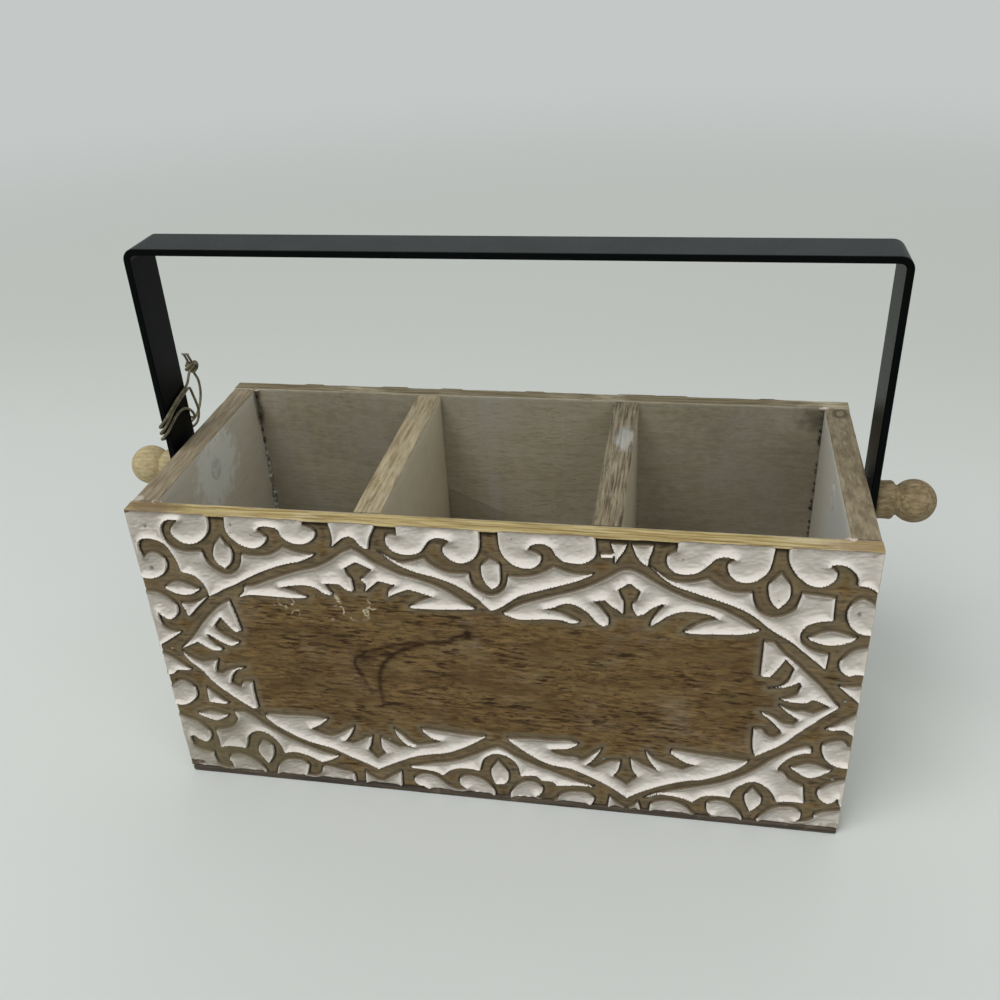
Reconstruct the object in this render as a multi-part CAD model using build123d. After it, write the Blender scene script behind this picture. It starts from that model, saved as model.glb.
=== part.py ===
from build123d import *
import math
import os

# Flatware caddy: an open wooden box with three compartments, carved face boards
# and a steel strap handle that swings on two turned knobs. Sizes are in mm.
# X runs along the box, Y from the front face to the back and Z up from the table.

# The box
box_length = 305.0
box_depth = 130.0
box_height = 150.0
base_thickness = 3.0
base_inset = 0.5
face_ground_thickness = 7.4
relief_height = 1.2
end_board_thickness = 11.3
divider_thickness = 12.0
board_edge_softening = 0.8

# The carving is drawn on a board of this size and stretched to fit the real one
carving_drawn_length = 305.0
carving_drawn_height = 150.0
carving_offset = 4.5
peak_distance = 56.8

# The handle strap and its pivots
strap_width = 22.0
strap_thickness = 3.0
strap_bend_radius = 5.5
strap_edge_softening = 0.5
handle_rise = 109.4
pivot_below_rim = 14.9
washer_diameter = 18.0
washer_thickness = 1.8
strap_side_play = 0.2
spigot_diameter = 8.0
pivot_radial_play = 0.1

# The knobs
collar_diameter = 16.7
collar_length = 8.6
collar_rounding = 1.6
neck_diameter = 12.4
neck_length = 1.4
ball_diameter = 18.6

# The screws
screw_length = 32.0
screw_shank_diameter = 4.0
screw_head_diameter = 8.0
screw_head_rim = 0.4
screw_head_sink = 0.3
screw_point_length = 5.0
screw_slot_width = 1.2
screw_slot_depth = 1.0
screw_radial_play = 0.05

# The panel pins
pin_diameter = 1.4
pin_length = 20.0
pin_radial_play = 0.05
pin_end_play = 0.1
pin_row_spacing = 88.0
base_pin_inset = 40.0

# The tag string on the left leg
string_diameter = 1.3
knot_centre = (-156.4, 24.8, 175.9)
knot_length = 7.0
knot_width = 6.0
tail_length = 8.8
tail_lean = 22.0
tail_spread = 11.0

# Worked out from the sizes above
half_length = box_length / 2
half_depth = box_depth / 2
face_thickness = face_ground_thickness + relief_height
inner_half_depth = half_depth - face_thickness
inner_half_length = half_length - end_board_thickness
board_height = box_height - base_thickness
compartment_length = (2 * inner_half_length - 2 * divider_thickness) / 3
divider_centre = (compartment_length + divider_thickness) / 2
pivot_height = box_height - pivot_below_rim
strap_inner_x = half_length + washer_thickness + strap_side_play
strap_outer_x = strap_inner_x + strap_thickness
collar_start_x = strap_outer_x + strap_side_play
handle_top = pivot_height + handle_rise
stretch_along = box_length / carving_drawn_length
stretch_up = box_height / carving_drawn_height
carving_mid_height = box_height / 2

# The carving is given as a quarter. A point is (distance from the pattern's middle
# along the board, height above the board's middle). An outline is a list of runs.
# Two points make a straight run, and a longer run is a chain of arcs: the first
# three points make an arc, the third and the next two make another, and so on.
# The outlines that meet the board's edges run past them and are cut off there.
past_rim = 77
past_end = 160
lobe = [
    [(3.5, past_rim), (3.8, 68), (6, 62.5), (10, 59.2), (14.5, 58.4), (19.4, 63), (15.8, 68.6)],
    [(15.8, 68.6), (19.2, 70.3), (23.5, 68.7), (27.2, 63.8), (34, 61.4), (41.5, 64.4), (42, past_rim)],
    [(42, past_rim), (3.5, past_rim)],
]
peak_point = [
    [(0, 68.7), (3, 66.6), (6.9, 62.6)],
    [(6.9, 62.6), (7.3, 69), (8.6, past_rim)],
    [(8.6, past_rim), (0, past_rim)],
    [(0, past_rim), (0, 68.7)],
]
gull_wing = [
    [(0, 36), (6, 38.8), (14, 44.6), (29, 50.6), (44.5, 58.6)],
    [(44.5, 58.6), (35, 57.3), (26.5, 59.8)],
    [(26.5, 59.8), (18, 54.3), (8, 53.8)],
    [(8, 53.8), (5.9, 46.6), (0, 43.6)],
    [(0, 43.6), (0, 36)],
]
almond = [
    [(0, 61.6), (3.8, 54.6), (0, 46.6)],
    [(0, 46.6), (-3.8, 54.6), (0, 61.6)],
]
fringe_half = [
    [(0, 61.2), (12, 53.6), (30, 46.3), (42, 41), (51.5, 34.3)],
    [(51.5, 34.3), (36, 32.3), (22, 31.6)],
    [(22, 31.6), (26.8, 36.4), (33.5, 39.6)],
    [(33.5, 39.6), (22, 41.9), (10.3, 34.2)],
    [(10.3, 34.2), (11.4, 39.4), (14.2, 44)],
    [(14.2, 44), (8.8, 43.6), (3, 38.8)],
    [(3, 38.8), (2.2, 44.6), (4.8, 50)],
    [(4.8, 50), (0, 54.3)],
    [(0, 54.3), (0, 61.2)],
]
corner_scroll = [
    [(119.3, past_rim), (120.3, 66), (127, 60.4), (136.4, 64.4), (132.7, 71.7)],
    [(132.7, 71.7), (139.7, 69.8), (141.2, 62), (135.4, 56.4), (125.5, 56.6)],
    [(125.5, 56.6), (122.7, 49.4), (116, 45.3), (110, 48), (106.8, 56.3)],
    [(106.8, 56.3), (95, 56.5), (87.5, 61)],
    [(87.5, 61), (81, 58.4), (72, 58.2)],
    [(72, 58.2), (88, 51.8), (106, 44), (118, 37.4), (126.3, 33)],
    [(126.3, 33), (127.6, 39.6), (136.8, 45.3)],
    [(136.8, 45.3), (138.4, 54), (145, 61), (153, 60), (153.2, 51.3)],
    [(153.2, 51.3), (147, 54.4), (143.2, 49.6), (147, 42.6), (past_end, 41)],
    [(past_end, 41), (past_end, past_rim)],
    [(past_end, past_rim), (119.3, past_rim)],
]
side_almond = [
    [(146.7, 36), (139, 39.5), (130.3, 36)],
    [(130.3, 36), (138.5, 33), (146.7, 36)],
]
small_leaf = [
    [(140.5, 28), (134, 28.8), (127.5, 32.2)],
    [(127.5, 32.2), (133, 27), (138.5, 20.5)],
    [(138.5, 20.5), (139.6, 24.4), (140.5, 28)],
]
side_lobe = [
    [(past_end, 33.4), (150.5, 32.9), (143.4, 26), (147.6, 18.9), (153.2, 22.2)],
    [(153.2, 22.2), (152.4, 15), (144.7, 11.4)],
    [(144.7, 11.4), (150.4, 7.2), (past_end, 1)],
    [(past_end, 1), (past_end, 33.4)],
]
end_leaf = [
    [(146, 2), (134, 17), (117.5, 31.3)],
    [(117.5, 31.3), (115.9, 23), (114.7, 14.8)],
    [(114.7, 14.8), (119.8, 16.2), (123, 22)],
    [(123, 22), (127.5, 16.3)],
    [(127.5, 16.3), (124, 11.8), (117, 8)],
    [(117, 8), (124, 7), (131.5, 11.8)],
    [(131.5, 11.8), (126, 3.2)],
    [(126, 3.2), (131, 3.4), (137, 7)],
    [(137, 7), (146, 2)],
]

# Route of the tag string's middle line: three turns round the leg and the loop
# that stands up behind it, given as (x, y, z) and chosen by hand
string_route = [
    (-156.1, 22.8, 175.6),
    (-155.5, 19.2, 174.9),
    (-154.6, 15.8, 173.4),
    (-153.8, 12.2, 172.1),
    (-153.65, 5.4, 171.1),
    (-153.65, -1.4, 170.0),
    (-153.65, -7.0, 168.5),
    (-153.6, -13.6, 166.5),
    (-158.5, -13.2, 161.8),
    (-158.6, -6.4, 159.8),
    (-158.4, 0.2, 157.9),
    (-158.6, 6.8, 156.2),
    (-158.5, 14.4, 154.2),
    (-153.8, 13.9, 154.3),
    (-153.65, 11.4, 159.2),
    (-153.65, 6.6, 163.0),
    (-153.65, 1.0, 164.4),
    (-153.65, -6.0, 163.4),
    (-153.6, -13.9, 160.3),
    (-158.6, -13.8, 156.0),
    (-158.6, -6.4, 153.9),
    (-158.4, 0.2, 151.9),
    (-158.6, 6.8, 150.2),
    (-158.0, 13.2, 148.4),
    (-156.0, 18.6, 149.0),
    (-155.2, 20.9, 154.4),
    (-155.0, 19.2, 160.2),
    (-154.8, 17.0, 165.6),
    (-154.0, 14.4, 170.4),
    (-153.65, 8.4, 169.9),
    (-153.65, 1.8, 168.9),
    (-153.65, -5.6, 167.2),
    (-153.6, -13.8, 163.5),
    (-158.6, -13.6, 158.8),
    (-158.6, -6.4, 156.8),
    (-158.4, 0.2, 154.9),
    (-158.6, 6.8, 153.2),
    (-158.7, 13.6, 151.2),
    (-159.2, 20.8, 149.2),
    (-158.7, 27.0, 151.4),
    (-158.2, 30.9, 157.2),
    (-157.8, 31.4, 162.6),
    (-157.2, 29.8, 167.4),
    (-156.7, 26.6, 171.4),
    (-156.5, 25.2, 174.0),
]


def flat_face(runs):
    """The face inside an outline of straight runs and chains of arcs."""
    edges = []
    for run in runs:
        if len(run) == 2:
            edges.append(Line(*run))
        for start in range(0, len(run) - 2, 2):
            edges.append(ThreePointArc(*run[start : start + 3]))
    return make_face(edges)


def carving_sketch():
    """Every raised motif of one face board, about the pattern's middle."""
    peak_line = Plane.YZ.offset(peak_distance)
    peak_shift = Location((peak_distance, 0))
    pieces = []
    for runs in (lobe, gull_wing):
        pieces.append(flat_face(runs))
    pieces.append(mirror(flat_face(lobe), peak_line))
    for runs in (peak_point, fringe_half):
        half = peak_shift * flat_face(runs)
        pieces.append(half)
        pieces.append(mirror(half, peak_line))
    for runs in (corner_scroll, side_almond, small_leaf, side_lobe, end_leaf):
        pieces.append(flat_face(runs))
    pieces.append(flat_face(almond))
    pieces.append(Location((2 * peak_distance, 0)) * flat_face(almond))
    quarter = Sketch() + pieces
    upper = Sketch() + [quarter, mirror(quarter, Plane.YZ)]
    whole = Sketch() + [upper, mirror(upper, Plane.XZ)]
    return whole


def pin_places():
    """Heights of the pins in a row up an edge of the box."""
    middle = base_thickness + board_height / 2
    return [middle - pin_row_spacing / 2, middle, middle + pin_row_spacing / 2]


def pin(clearance=0.0):
    """A headless panel pin lying along +Y from its outer end, or its hole."""
    radius = pin_diameter / 2 + clearance
    length = pin_length + (pin_end_play if clearance else 0.0)
    body = Cylinder(radius, length, align=(Align.CENTER, Align.CENTER, Align.MIN))
    return Rot(X=-90) * body


def face_board_pins(clearance=0.0):
    """Pins through both face boards into the end boards, as front and back lists."""
    x = half_length - end_board_thickness / 2
    return pins_at([-x, x], pin_places(), clearance)


def divider_board_pins(clearance=0.0):
    """Pins through both face boards into the dividers."""
    rows = pin_places()
    return pins_at([-divider_centre, divider_centre], [rows[0], rows[2]], clearance)


def pins_at(columns, rows, clearance):
    """Pins driven in from the front and from the back at each column and row."""
    ground_y = half_depth - relief_height
    found = []
    for x in columns:
        for z in rows:
            front = Location((x, -ground_y, z)) * pin(clearance)
            found.append(front)
            found.append(mirror(front, Plane.XZ))
    return found


def base_board_pins(clearance=0.0):
    """Pins up through the base board into the face boards and the end boards."""
    face_y = half_depth - face_thickness / 2
    end_x = half_length - end_board_thickness / 2
    span = half_length - base_pin_inset
    places = [(x, y) for x in (-span, 0, span) for y in (-face_y, face_y)]
    places += [(-end_x, 0), (end_x, 0)]
    radius = pin_diameter / 2 + clearance
    length = pin_length + (pin_end_play if clearance else 0.0)
    found = []
    for x, y in places:
        body = Cylinder(radius, length, align=(Align.CENTER, Align.CENTER, Align.MIN))
        found.append(Location((x, y, 0)) * body)
    return found


def face_board(all_holes):
    """The front board: a flat ground with the carving standing on it."""
    ground = Box(
        box_length,
        face_ground_thickness,
        board_height,
        align=(Align.CENTER, Align.MIN, Align.MIN),
    )
    ground = Location((0, -inner_half_depth - face_ground_thickness, base_thickness)) * ground
    drawn = scale(carving_sketch(), by=(stretch_along, stretch_up, 1))
    drawn = Location((carving_offset, 0)) * drawn
    face_outline = Location((0, base_thickness / 2)) * Rectangle(box_length, board_height)
    drawn = drawn & face_outline
    front_plane = Plane(
        origin=(0, -inner_half_depth - face_ground_thickness, carving_mid_height),
        x_dir=(1, 0, 0),
        z_dir=(0, -1, 0),
    )
    relief = extrude(front_plane * drawn, relief_height)
    return (ground + relief) - all_holes


def end_board(all_holes):
    """The left end board, with the pivot's screw hole through it."""
    board = Box(
        end_board_thickness,
        2 * inner_half_depth,
        board_height,
        align=(Align.MIN, Align.CENTER, Align.MIN),
    )
    board = Location((-half_length, 0, base_thickness)) * board
    rim = board.edges().filter_by(Axis.Y).group_by(Axis.Z)[-1]
    board = fillet(rim, board_edge_softening)
    return board - all_holes - screw(screw_radial_play)


def divider(centre, all_holes):
    """An upright board between two compartments."""
    board = Box(
        divider_thickness,
        2 * inner_half_depth,
        board_height,
        align=(Align.CENTER, Align.CENTER, Align.MIN),
    )
    board = Location((centre, 0, base_thickness)) * board
    rim = board.edges().filter_by(Axis.Y).group_by(Axis.Z)[-1]
    return fillet(rim, board_edge_softening) - all_holes


def base(all_holes):
    """The thin board under the box."""
    board = Box(
        box_length - 2 * base_inset,
        box_depth - 2 * base_inset,
        base_thickness,
        align=(Align.CENTER, Align.CENTER, Align.MIN),
    )
    return board - all_holes


def pivot_rod(radius, start, end):
    """A round bar along the left pivot's axis, between two distances from the middle."""
    body = Cylinder(radius, end - start, align=(Align.CENTER, Align.CENTER, Align.MIN))
    return Location((-start, 0, pivot_height)) * Rot(Y=-90) * body


def handle():
    """One steel strap bent to a bail, with rounded lower ends and a hole in each."""
    leg_bottom = pivot_height - strap_width / 2
    leg_height = handle_top - leg_bottom
    outer = Rectangle(2 * strap_outer_x, leg_height, align=(Align.CENTER, Align.MIN))
    inner_size = leg_height - strap_thickness
    inner = Rectangle(2 * strap_inner_x, inner_size, align=(Align.CENTER, Align.MIN))
    outer = fillet(outer.vertices().group_by(Axis.Y)[-1], strap_bend_radius)
    inner_radius = strap_bend_radius - strap_thickness
    inner = fillet(inner.vertices().group_by(Axis.Y)[-1], inner_radius)
    profile_plane = Plane(origin=(0, 0, leg_bottom), x_dir=(1, 0, 0), z_dir=(0, -1, 0))
    strap = extrude(profile_plane * (outer - inner), strap_width / 2, both=True)
    side_outline = Rectangle(strap_width, handle_rise, align=(Align.CENTER, Align.MIN))
    side_outline += Circle(strap_width / 2)
    side_outline -= Circle(spigot_diameter / 2 + pivot_radial_play)
    side_plane = Plane(origin=(0, 0, pivot_height), x_dir=(0, 1, 0), z_dir=(1, 0, 0))
    strap = strap & extrude(side_plane * side_outline, strap_outer_x, both=True)
    long_edges = []
    for edge in strap.faces().filter_by(Axis.Y).edges():
        if edge.length > 1.1 * strap_thickness:
            long_edges.append(edge)
    return fillet(long_edges, strap_edge_softening)


def washer():
    """The left spacer between the end board and the strap."""
    disc = pivot_rod(washer_diameter / 2, half_length, half_length + washer_thickness)
    bore = spigot_diameter / 2 + pivot_radial_play
    return disc - pivot_rod(bore, half_length, half_length + washer_thickness)


def knob():
    """The left knob: a turned ball and collar with the spigot that the strap swings on."""
    spigot = spigot_diameter / 2
    collar = collar_diameter / 2
    neck = neck_diameter / 2
    ball = ball_diameter / 2
    collar_end = collar_start_x + collar_length
    neck_end = collar_end + neck_length
    ball_centre = neck_end + math.sqrt(ball**2 - neck**2)
    knob_end = ball_centre + ball
    with BuildSketch(Plane.XZ) as half:
        with BuildLine():
            Line((half_length, 0), (half_length, spigot))
            Line((half_length, spigot), (collar_start_x, spigot))
            Line((collar_start_x, spigot), (collar_start_x, collar))
            Line((collar_start_x, collar), (collar_end, collar))
            Line((collar_end, collar), (neck_end, neck))
            ThreePointArc((neck_end, neck), (ball_centre, ball), (knob_end, 0))
            Line((knob_end, 0), (half_length, 0))
        make_face()
        rims = half.vertices().filter_by(lambda point: point.Y == collar)
        fillet(rims, collar_rounding)
    turned = revolve(half.sketch, Axis.X)
    turned = Location((0, 0, pivot_height)) * turned
    return mirror(turned, Plane.YZ) - screw(screw_radial_play)


def screw(clearance=0.0):
    """The left wood screw, head at the inner wall and point in the knob, or its hole."""
    shank = screw_shank_diameter / 2 + clearance
    head = screw_head_diameter / 2 + clearance
    head_top = inner_half_length + (screw_head_sink if not clearance else 0.0)
    rim_end = inner_half_length + screw_head_sink + screw_head_rim
    cone_end = rim_end + head - shank
    tip = inner_half_length + screw_head_sink + screw_length + clearance
    with BuildSketch(Plane.XZ) as half:
        with BuildLine():
            Polyline(
                (head_top, 0),
                (head_top, head),
                (rim_end, head),
                (cone_end, shank),
                (tip - screw_point_length, shank),
                (tip, 0),
                close=True,
            )
        make_face()
    turned = Location((0, 0, pivot_height)) * revolve(half.sketch, Axis.X)
    if not clearance:
        slot = Box(2 * screw_slot_depth, screw_head_diameter, screw_slot_width)
        turned -= Location((head_top, 0, pivot_height)) * slot
    return mirror(turned, Plane.YZ)


def arc_radii(points):
    """For each inner point, the largest arc that its two runs allow."""
    radii = []
    for before, here, after in zip(points, points[1:], points[2:]):
        run_in = Vector(*here) - Vector(*before)
        run_out = Vector(*after) - Vector(*here)
        turn = math.radians(run_in.get_angle(run_out))
        shorter = min(run_in.length, run_out.length)
        radii.append(0.45 * shorter / math.tan(turn / 2))
    return radii


def tag_string():
    """The twine, a round tube along its route."""
    radii = arc_radii(string_route)
    path = FilletPolyline(*string_route, radius=radii)
    section = Plane(origin=path @ 0, z_dir=path % 0) * Circle(string_diameter / 2)
    tube = sweep(section, path)
    area = math.pi * (string_diameter / 2) ** 2
    print("string length", round(path.length, 1))
    print("string radii", [round(radius, 1) for radius in radii])
    print("string volume over section times length", round(tube.volume / (area * path.length), 4))
    return tube


def string_knot(tube):
    """The overhand knot that holds both ends of the twine, with its two cut tails."""
    place = Location(knot_centre)
    knot = place * scale(Sphere(knot_width / 2), by=(1, knot_length / knot_width, 1))
    tail = Cylinder(
        string_diameter / 2,
        tail_length,
        align=(Align.CENTER, Align.CENTER, Align.MIN),
    )
    for spread in (-tail_spread, tail_spread):
        knot += place * Rot(X=tail_lean) * Rot(Y=spread) * tail
    return knot - tube


def main():
    os.makedirs("parts", exist_ok=True)
    corner_pins = face_board_pins()
    divider_pins = divider_board_pins()
    base_pins = base_board_pins()
    holes = face_board_pins(pin_radial_play) + divider_board_pins(pin_radial_play)
    holes += base_board_pins(pin_radial_play)
    front = face_board(holes)
    left_side = end_board(holes)
    left_screw = screw()
    left_knob = knob()
    left_washer = washer()
    twine = tag_string()
    nodes = {
        "front_panel": front,
        "back_panel": mirror(front, Plane.XZ),
        "left_side": left_side,
        "right_side": mirror(left_side, Plane.YZ),
        "base_board": base(holes),
        "left_divider": divider(-divider_centre, holes),
        "right_divider": divider(divider_centre, holes),
        "handle": handle(),
        "left_knob": left_knob,
        "right_knob": mirror(left_knob, Plane.YZ),
        "left_screw": left_screw,
        "right_screw": mirror(left_screw, Plane.YZ),
        "left_washer": left_washer,
        "right_washer": mirror(left_washer, Plane.YZ),
        "corner_pins": Compound(children=corner_pins),
        "divider_pins": Compound(children=divider_pins),
        "base_pins": Compound(children=base_pins),
        "tag_string": twine,
        "string_knot": string_knot(twine),
    }
    for name, shape in nodes.items():
        export_step(shape, f"parts/{name}.step")


main()
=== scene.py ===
import bmesh
import bpy
import math
import numpy as np
from mathutils import Matrix, Vector, noise


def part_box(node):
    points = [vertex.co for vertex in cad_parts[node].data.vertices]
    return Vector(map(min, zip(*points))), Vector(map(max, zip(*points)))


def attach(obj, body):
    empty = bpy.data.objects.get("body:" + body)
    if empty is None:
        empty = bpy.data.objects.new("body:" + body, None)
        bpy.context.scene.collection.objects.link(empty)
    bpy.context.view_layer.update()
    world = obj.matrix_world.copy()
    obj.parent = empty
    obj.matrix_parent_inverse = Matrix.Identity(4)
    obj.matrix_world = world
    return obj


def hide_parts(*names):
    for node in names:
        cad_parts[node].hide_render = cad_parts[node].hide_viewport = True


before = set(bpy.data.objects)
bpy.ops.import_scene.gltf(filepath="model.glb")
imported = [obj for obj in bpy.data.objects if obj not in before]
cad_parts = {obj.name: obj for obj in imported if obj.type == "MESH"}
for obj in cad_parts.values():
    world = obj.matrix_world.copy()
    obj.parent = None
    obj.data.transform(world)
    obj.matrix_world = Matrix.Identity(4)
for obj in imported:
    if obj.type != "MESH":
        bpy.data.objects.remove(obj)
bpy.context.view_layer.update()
millimetre = 0.001
boxBody = "box"
handleBody = "handle"


def linkPiece(name, data):
    piece = bpy.data.objects.new(name, data)
    bpy.context.scene.collection.objects.link(piece)
    return piece


def finishMesh(mesh, material, smoothAngle):
    mesh.shade_smooth()
    mesh.set_sharp_from_angle(angle=math.radians(smoothAngle))
    mesh.materials.append(material)


def meshPiece(name, points, faces, material, smoothAngle):
    mesh = bpy.data.meshes.new(name)
    mesh.from_pydata([tuple(p) for p in points], [], faces)
    mesh.update()
    finishMesh(mesh, material, smoothAngle)
    return linkPiece(name, mesh)


def bandFaces(first, second, sides):
    # Quads between two rings, given the number of each ring's first point
    return [
        (first + step, first + (step + 1) % sides, second + (step + 1) % sides, second + step)
        for step in range(sides)
    ]


# Camera, placed from the corners of the box in the photo
photoView = {
    "position": (0.076694, -0.400349, 0.369352),
    "yaw": 0.200,
    "pitch": 0.539,
    "roll": -0.053,
    "lens": 37.366,
}


def makeCamera():
    data = bpy.data.cameras.new("photoCamera")
    data.sensor_width = 36
    data.lens = photoView["lens"]
    camera = linkPiece("photoCamera", data)
    turn = Matrix.Rotation(photoView["yaw"], 3, "Z")
    turn = turn @ Matrix.Rotation(math.pi / 2 - photoView["pitch"], 3, "X")
    turn = turn @ Matrix.Rotation(photoView["roll"], 3, "Z")
    camera.matrix_world = Matrix.Translation(photoView["position"]) @ turn.to_4x4()
    bpy.context.scene.camera = camera


makeCamera()
print("camera placed")


# Shader helpers: each returns a socket
def addNode(tree, kind, **settings):
    node = tree.nodes.new(kind)
    for key, value in settings.items():
        setattr(node, key, value)
    return node


def treeOf(*values):
    # The node tree of the first socket among these values
    return next(value.id_data for value in values if isinstance(value, bpy.types.NodeSocket))


def feed(socket, value):
    if isinstance(value, bpy.types.NodeSocket):
        socket.id_data.links.new(value, socket)
    else:
        socket.default_value = value


def calc(operation, first, second=0.0):
    node = addNode(treeOf(first, second), "ShaderNodeMath", operation=operation)
    feed(node.inputs[0], first)
    feed(node.inputs[1], second)
    return node.outputs[0]


def times(first, second):
    return calc("MULTIPLY", first, second)


def plus(first, second):
    return calc("ADD", first, second)


def minus(first, second):
    return calc("SUBTRACT", first, second)


def vectorCalc(operation, first, second):
    node = addNode(treeOf(first, second), "ShaderNodeVectorMath", operation=operation)
    feed(node.inputs[0], first)
    feed(node.inputs[1], second)
    return node.outputs["Vector"]


def lengthOf(vector):
    node = addNode(vector.id_data, "ShaderNodeVectorMath", operation="LENGTH")
    feed(node.inputs[0], vector)
    return node.outputs["Value"]


def ramp(value, low, high, start=0.0, end=1.0):
    node = addNode(value.id_data, "ShaderNodeMapRange", interpolation_type="SMOOTHSTEP")
    for socket, given in zip(node.inputs, (value, low, high, start, end)):
        feed(socket, given)
    return node.outputs[0]


def blendColors(amount, first, second):
    node = addNode(treeOf(amount, first, second), "ShaderNodeMix", data_type="RGBA")
    feed(node.inputs["Factor"], amount)
    for socket, value in ((node.inputs[6], first), (node.inputs[7], second)):
        feed(socket, value if isinstance(value, bpy.types.NodeSocket) else (*value, 1))
    return node.outputs[2]


def tint(color, target, mask, amount):
    # The colour turned towards a target where the mask is strong
    return blendColors(times(mask, amount), color, target)


def cloud(place, scale, detail=4.0, roughness=0.55):
    node = addNode(place.id_data, "ShaderNodeTexNoise")
    feed(node.inputs["Vector"], place)
    feed(node.inputs["Scale"], scale)
    feed(node.inputs["Detail"], detail)
    feed(node.inputs["Roughness"], roughness)
    return node.outputs["Fac"]


def stretchedCloud(place, stretch, detail, roughness=0.55):
    return cloud(vectorCalc("MULTIPLY", place, stretch), 1.0, detail, roughness)


def partOf(vector, axis):
    parts = addNode(vector.id_data, "ShaderNodeSeparateXYZ")
    feed(parts.inputs[0], vector)
    return parts.outputs[axis]


def objectPlace(tree):
    return addNode(tree, "ShaderNodeTexCoord").outputs["Object"]


def upwardness(tree):
    # 1 on faces that look straight up, -1 on those that look down
    return partOf(addNode(tree, "ShaderNodeNewGeometry").outputs["Normal"], "Z")


def shade(red, green, blue):
    # A colour as seen on screen, 0 to 255, turned into the value that a shader takes
    parts = [v / 255 for v in (red, green, blue)]
    return tuple(v / 12.92 if v <= 0.04045 else ((v + 0.055) / 1.055) ** 2.4 for v in parts)


def startEffect(name, inputs, outputs):
    tree = bpy.data.node_groups.new(name, "ShaderNodeTree")
    for label in inputs:
        kind = "NodeSocketVector" if label in ("Position", "Stretch") else "NodeSocketFloat"
        tree.interface.new_socket(label, in_out="INPUT", socket_type=kind)
    for label in outputs:
        tree.interface.new_socket(label, in_out="OUTPUT", socket_type="NodeSocketFloat")
    return tree, tree.nodes.new("NodeGroupInput").outputs, tree.nodes.new("NodeGroupOutput").inputs


def placeEffect(effect, values):
    node = addNode(treeOf(*values.values()), "ShaderNodeGroup", node_tree=effect)
    for label, value in values.items():
        feed(node.inputs[label], value)
    return node.outputs


def makeTimberGrain():
    # Long streaks and short dark pores; Stretch is small along the grain
    inputs = ("Position", "Stretch", "Warp", "Pore size")
    tree, given, made = startEffect("timberGrain", inputs, ("Streak", "Pores", "Height"))
    wander = cloud(given["Position"], 28.0, 2.0)
    wander = times(minus(wander, 0.5), given["Warp"])
    stretched = vectorCalc("MULTIPLY", given["Position"], given["Stretch"])
    shift = addNode(tree, "ShaderNodeCombineXYZ")
    for socket in shift.inputs:
        feed(socket, wander)
    stretched = vectorCalc("ADD", stretched, shift.outputs[0])
    streak = cloud(stretched, 1.0, 7.0, 0.62)
    fine = addNode(tree, "ShaderNodeVectorMath", operation="SCALE")
    feed(fine.inputs[0], stretched)
    feed(fine.inputs["Scale"], given["Pore size"])
    pores = ramp(cloud(fine.outputs["Vector"], 1.0, 2.0, 0.5), 0.57, 0.70)
    feed(made["Streak"], ramp(streak, 0.3, 0.7))
    feed(made["Pores"], pores)
    feed(made["Height"], minus(times(streak, 0.8), times(pores, 0.7)))
    return tree


def makeDryBrush():
    # Paint that a nearly dry brush leaves: streaks inside soft patches
    inputs = ("Position", "Stretch", "Patch size", "Coverage", "Softness")
    tree, given, made = startEffect("dryBrush", inputs, ("Mask",))
    streak = stretchedCloud(given["Position"], given["Stretch"], 5.0, 0.7)
    patch = cloud(given["Position"], given["Patch size"], 3.0)
    level = plus(times(streak, 0.55), times(patch, 0.45))
    edge = minus(1.0, given["Coverage"])
    edge = plus(times(edge, 0.5), 0.25)
    low = minus(edge, given["Softness"])
    high = plus(edge, given["Softness"])
    feed(made["Mask"], ramp(level, low, high))
    return tree


def makeRubbedPatches():
    # Blots where dust lies or the surface is rubbed through
    tree, given, made = startEffect("rubbedPatches", ("Position", "Size", "Low", "High"), ("Mask",))
    big = cloud(given["Position"], given["Size"], 5.0, 0.7)
    feed(made["Mask"], ramp(big, given["Low"], given["High"]))
    return tree


timberGrain = makeTimberGrain()
dryBrush = makeDryBrush()
rubbedPatches = makeRubbedPatches()


def grainAt(place, stretch, warp, poreSize):
    values = {"Position": place, "Stretch": stretch, "Warp": warp, "Pore size": poreSize}
    return placeEffect(timberGrain, values)


def brushAt(place, stretch, patchSize, coverage, softness):
    values = {"Position": place, "Stretch": stretch, "Patch size": patchSize}
    values.update({"Coverage": coverage, "Softness": softness})
    return placeEffect(dryBrush, values)["Mask"]


def rubbedAt(place, size, low, high):
    values = {"Position": place, "Size": size, "Low": low, "High": high}
    return placeEffect(rubbedPatches, values)["Mask"]


def startMaterial(name):
    material = bpy.data.materials.new(name)
    material.use_nodes = True
    tree = material.node_tree
    return material, tree, tree.nodes["Principled BSDF"]


def addBump(shader, height, strength, distance):
    bump = addNode(height.id_data, "ShaderNodeBump")
    bump.inputs["Strength"].default_value = strength
    bump.inputs["Distance"].default_value = distance
    feed(bump.inputs["Height"], height)
    feed(shader.inputs["Normal"], bump.outputs["Normal"])


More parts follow.
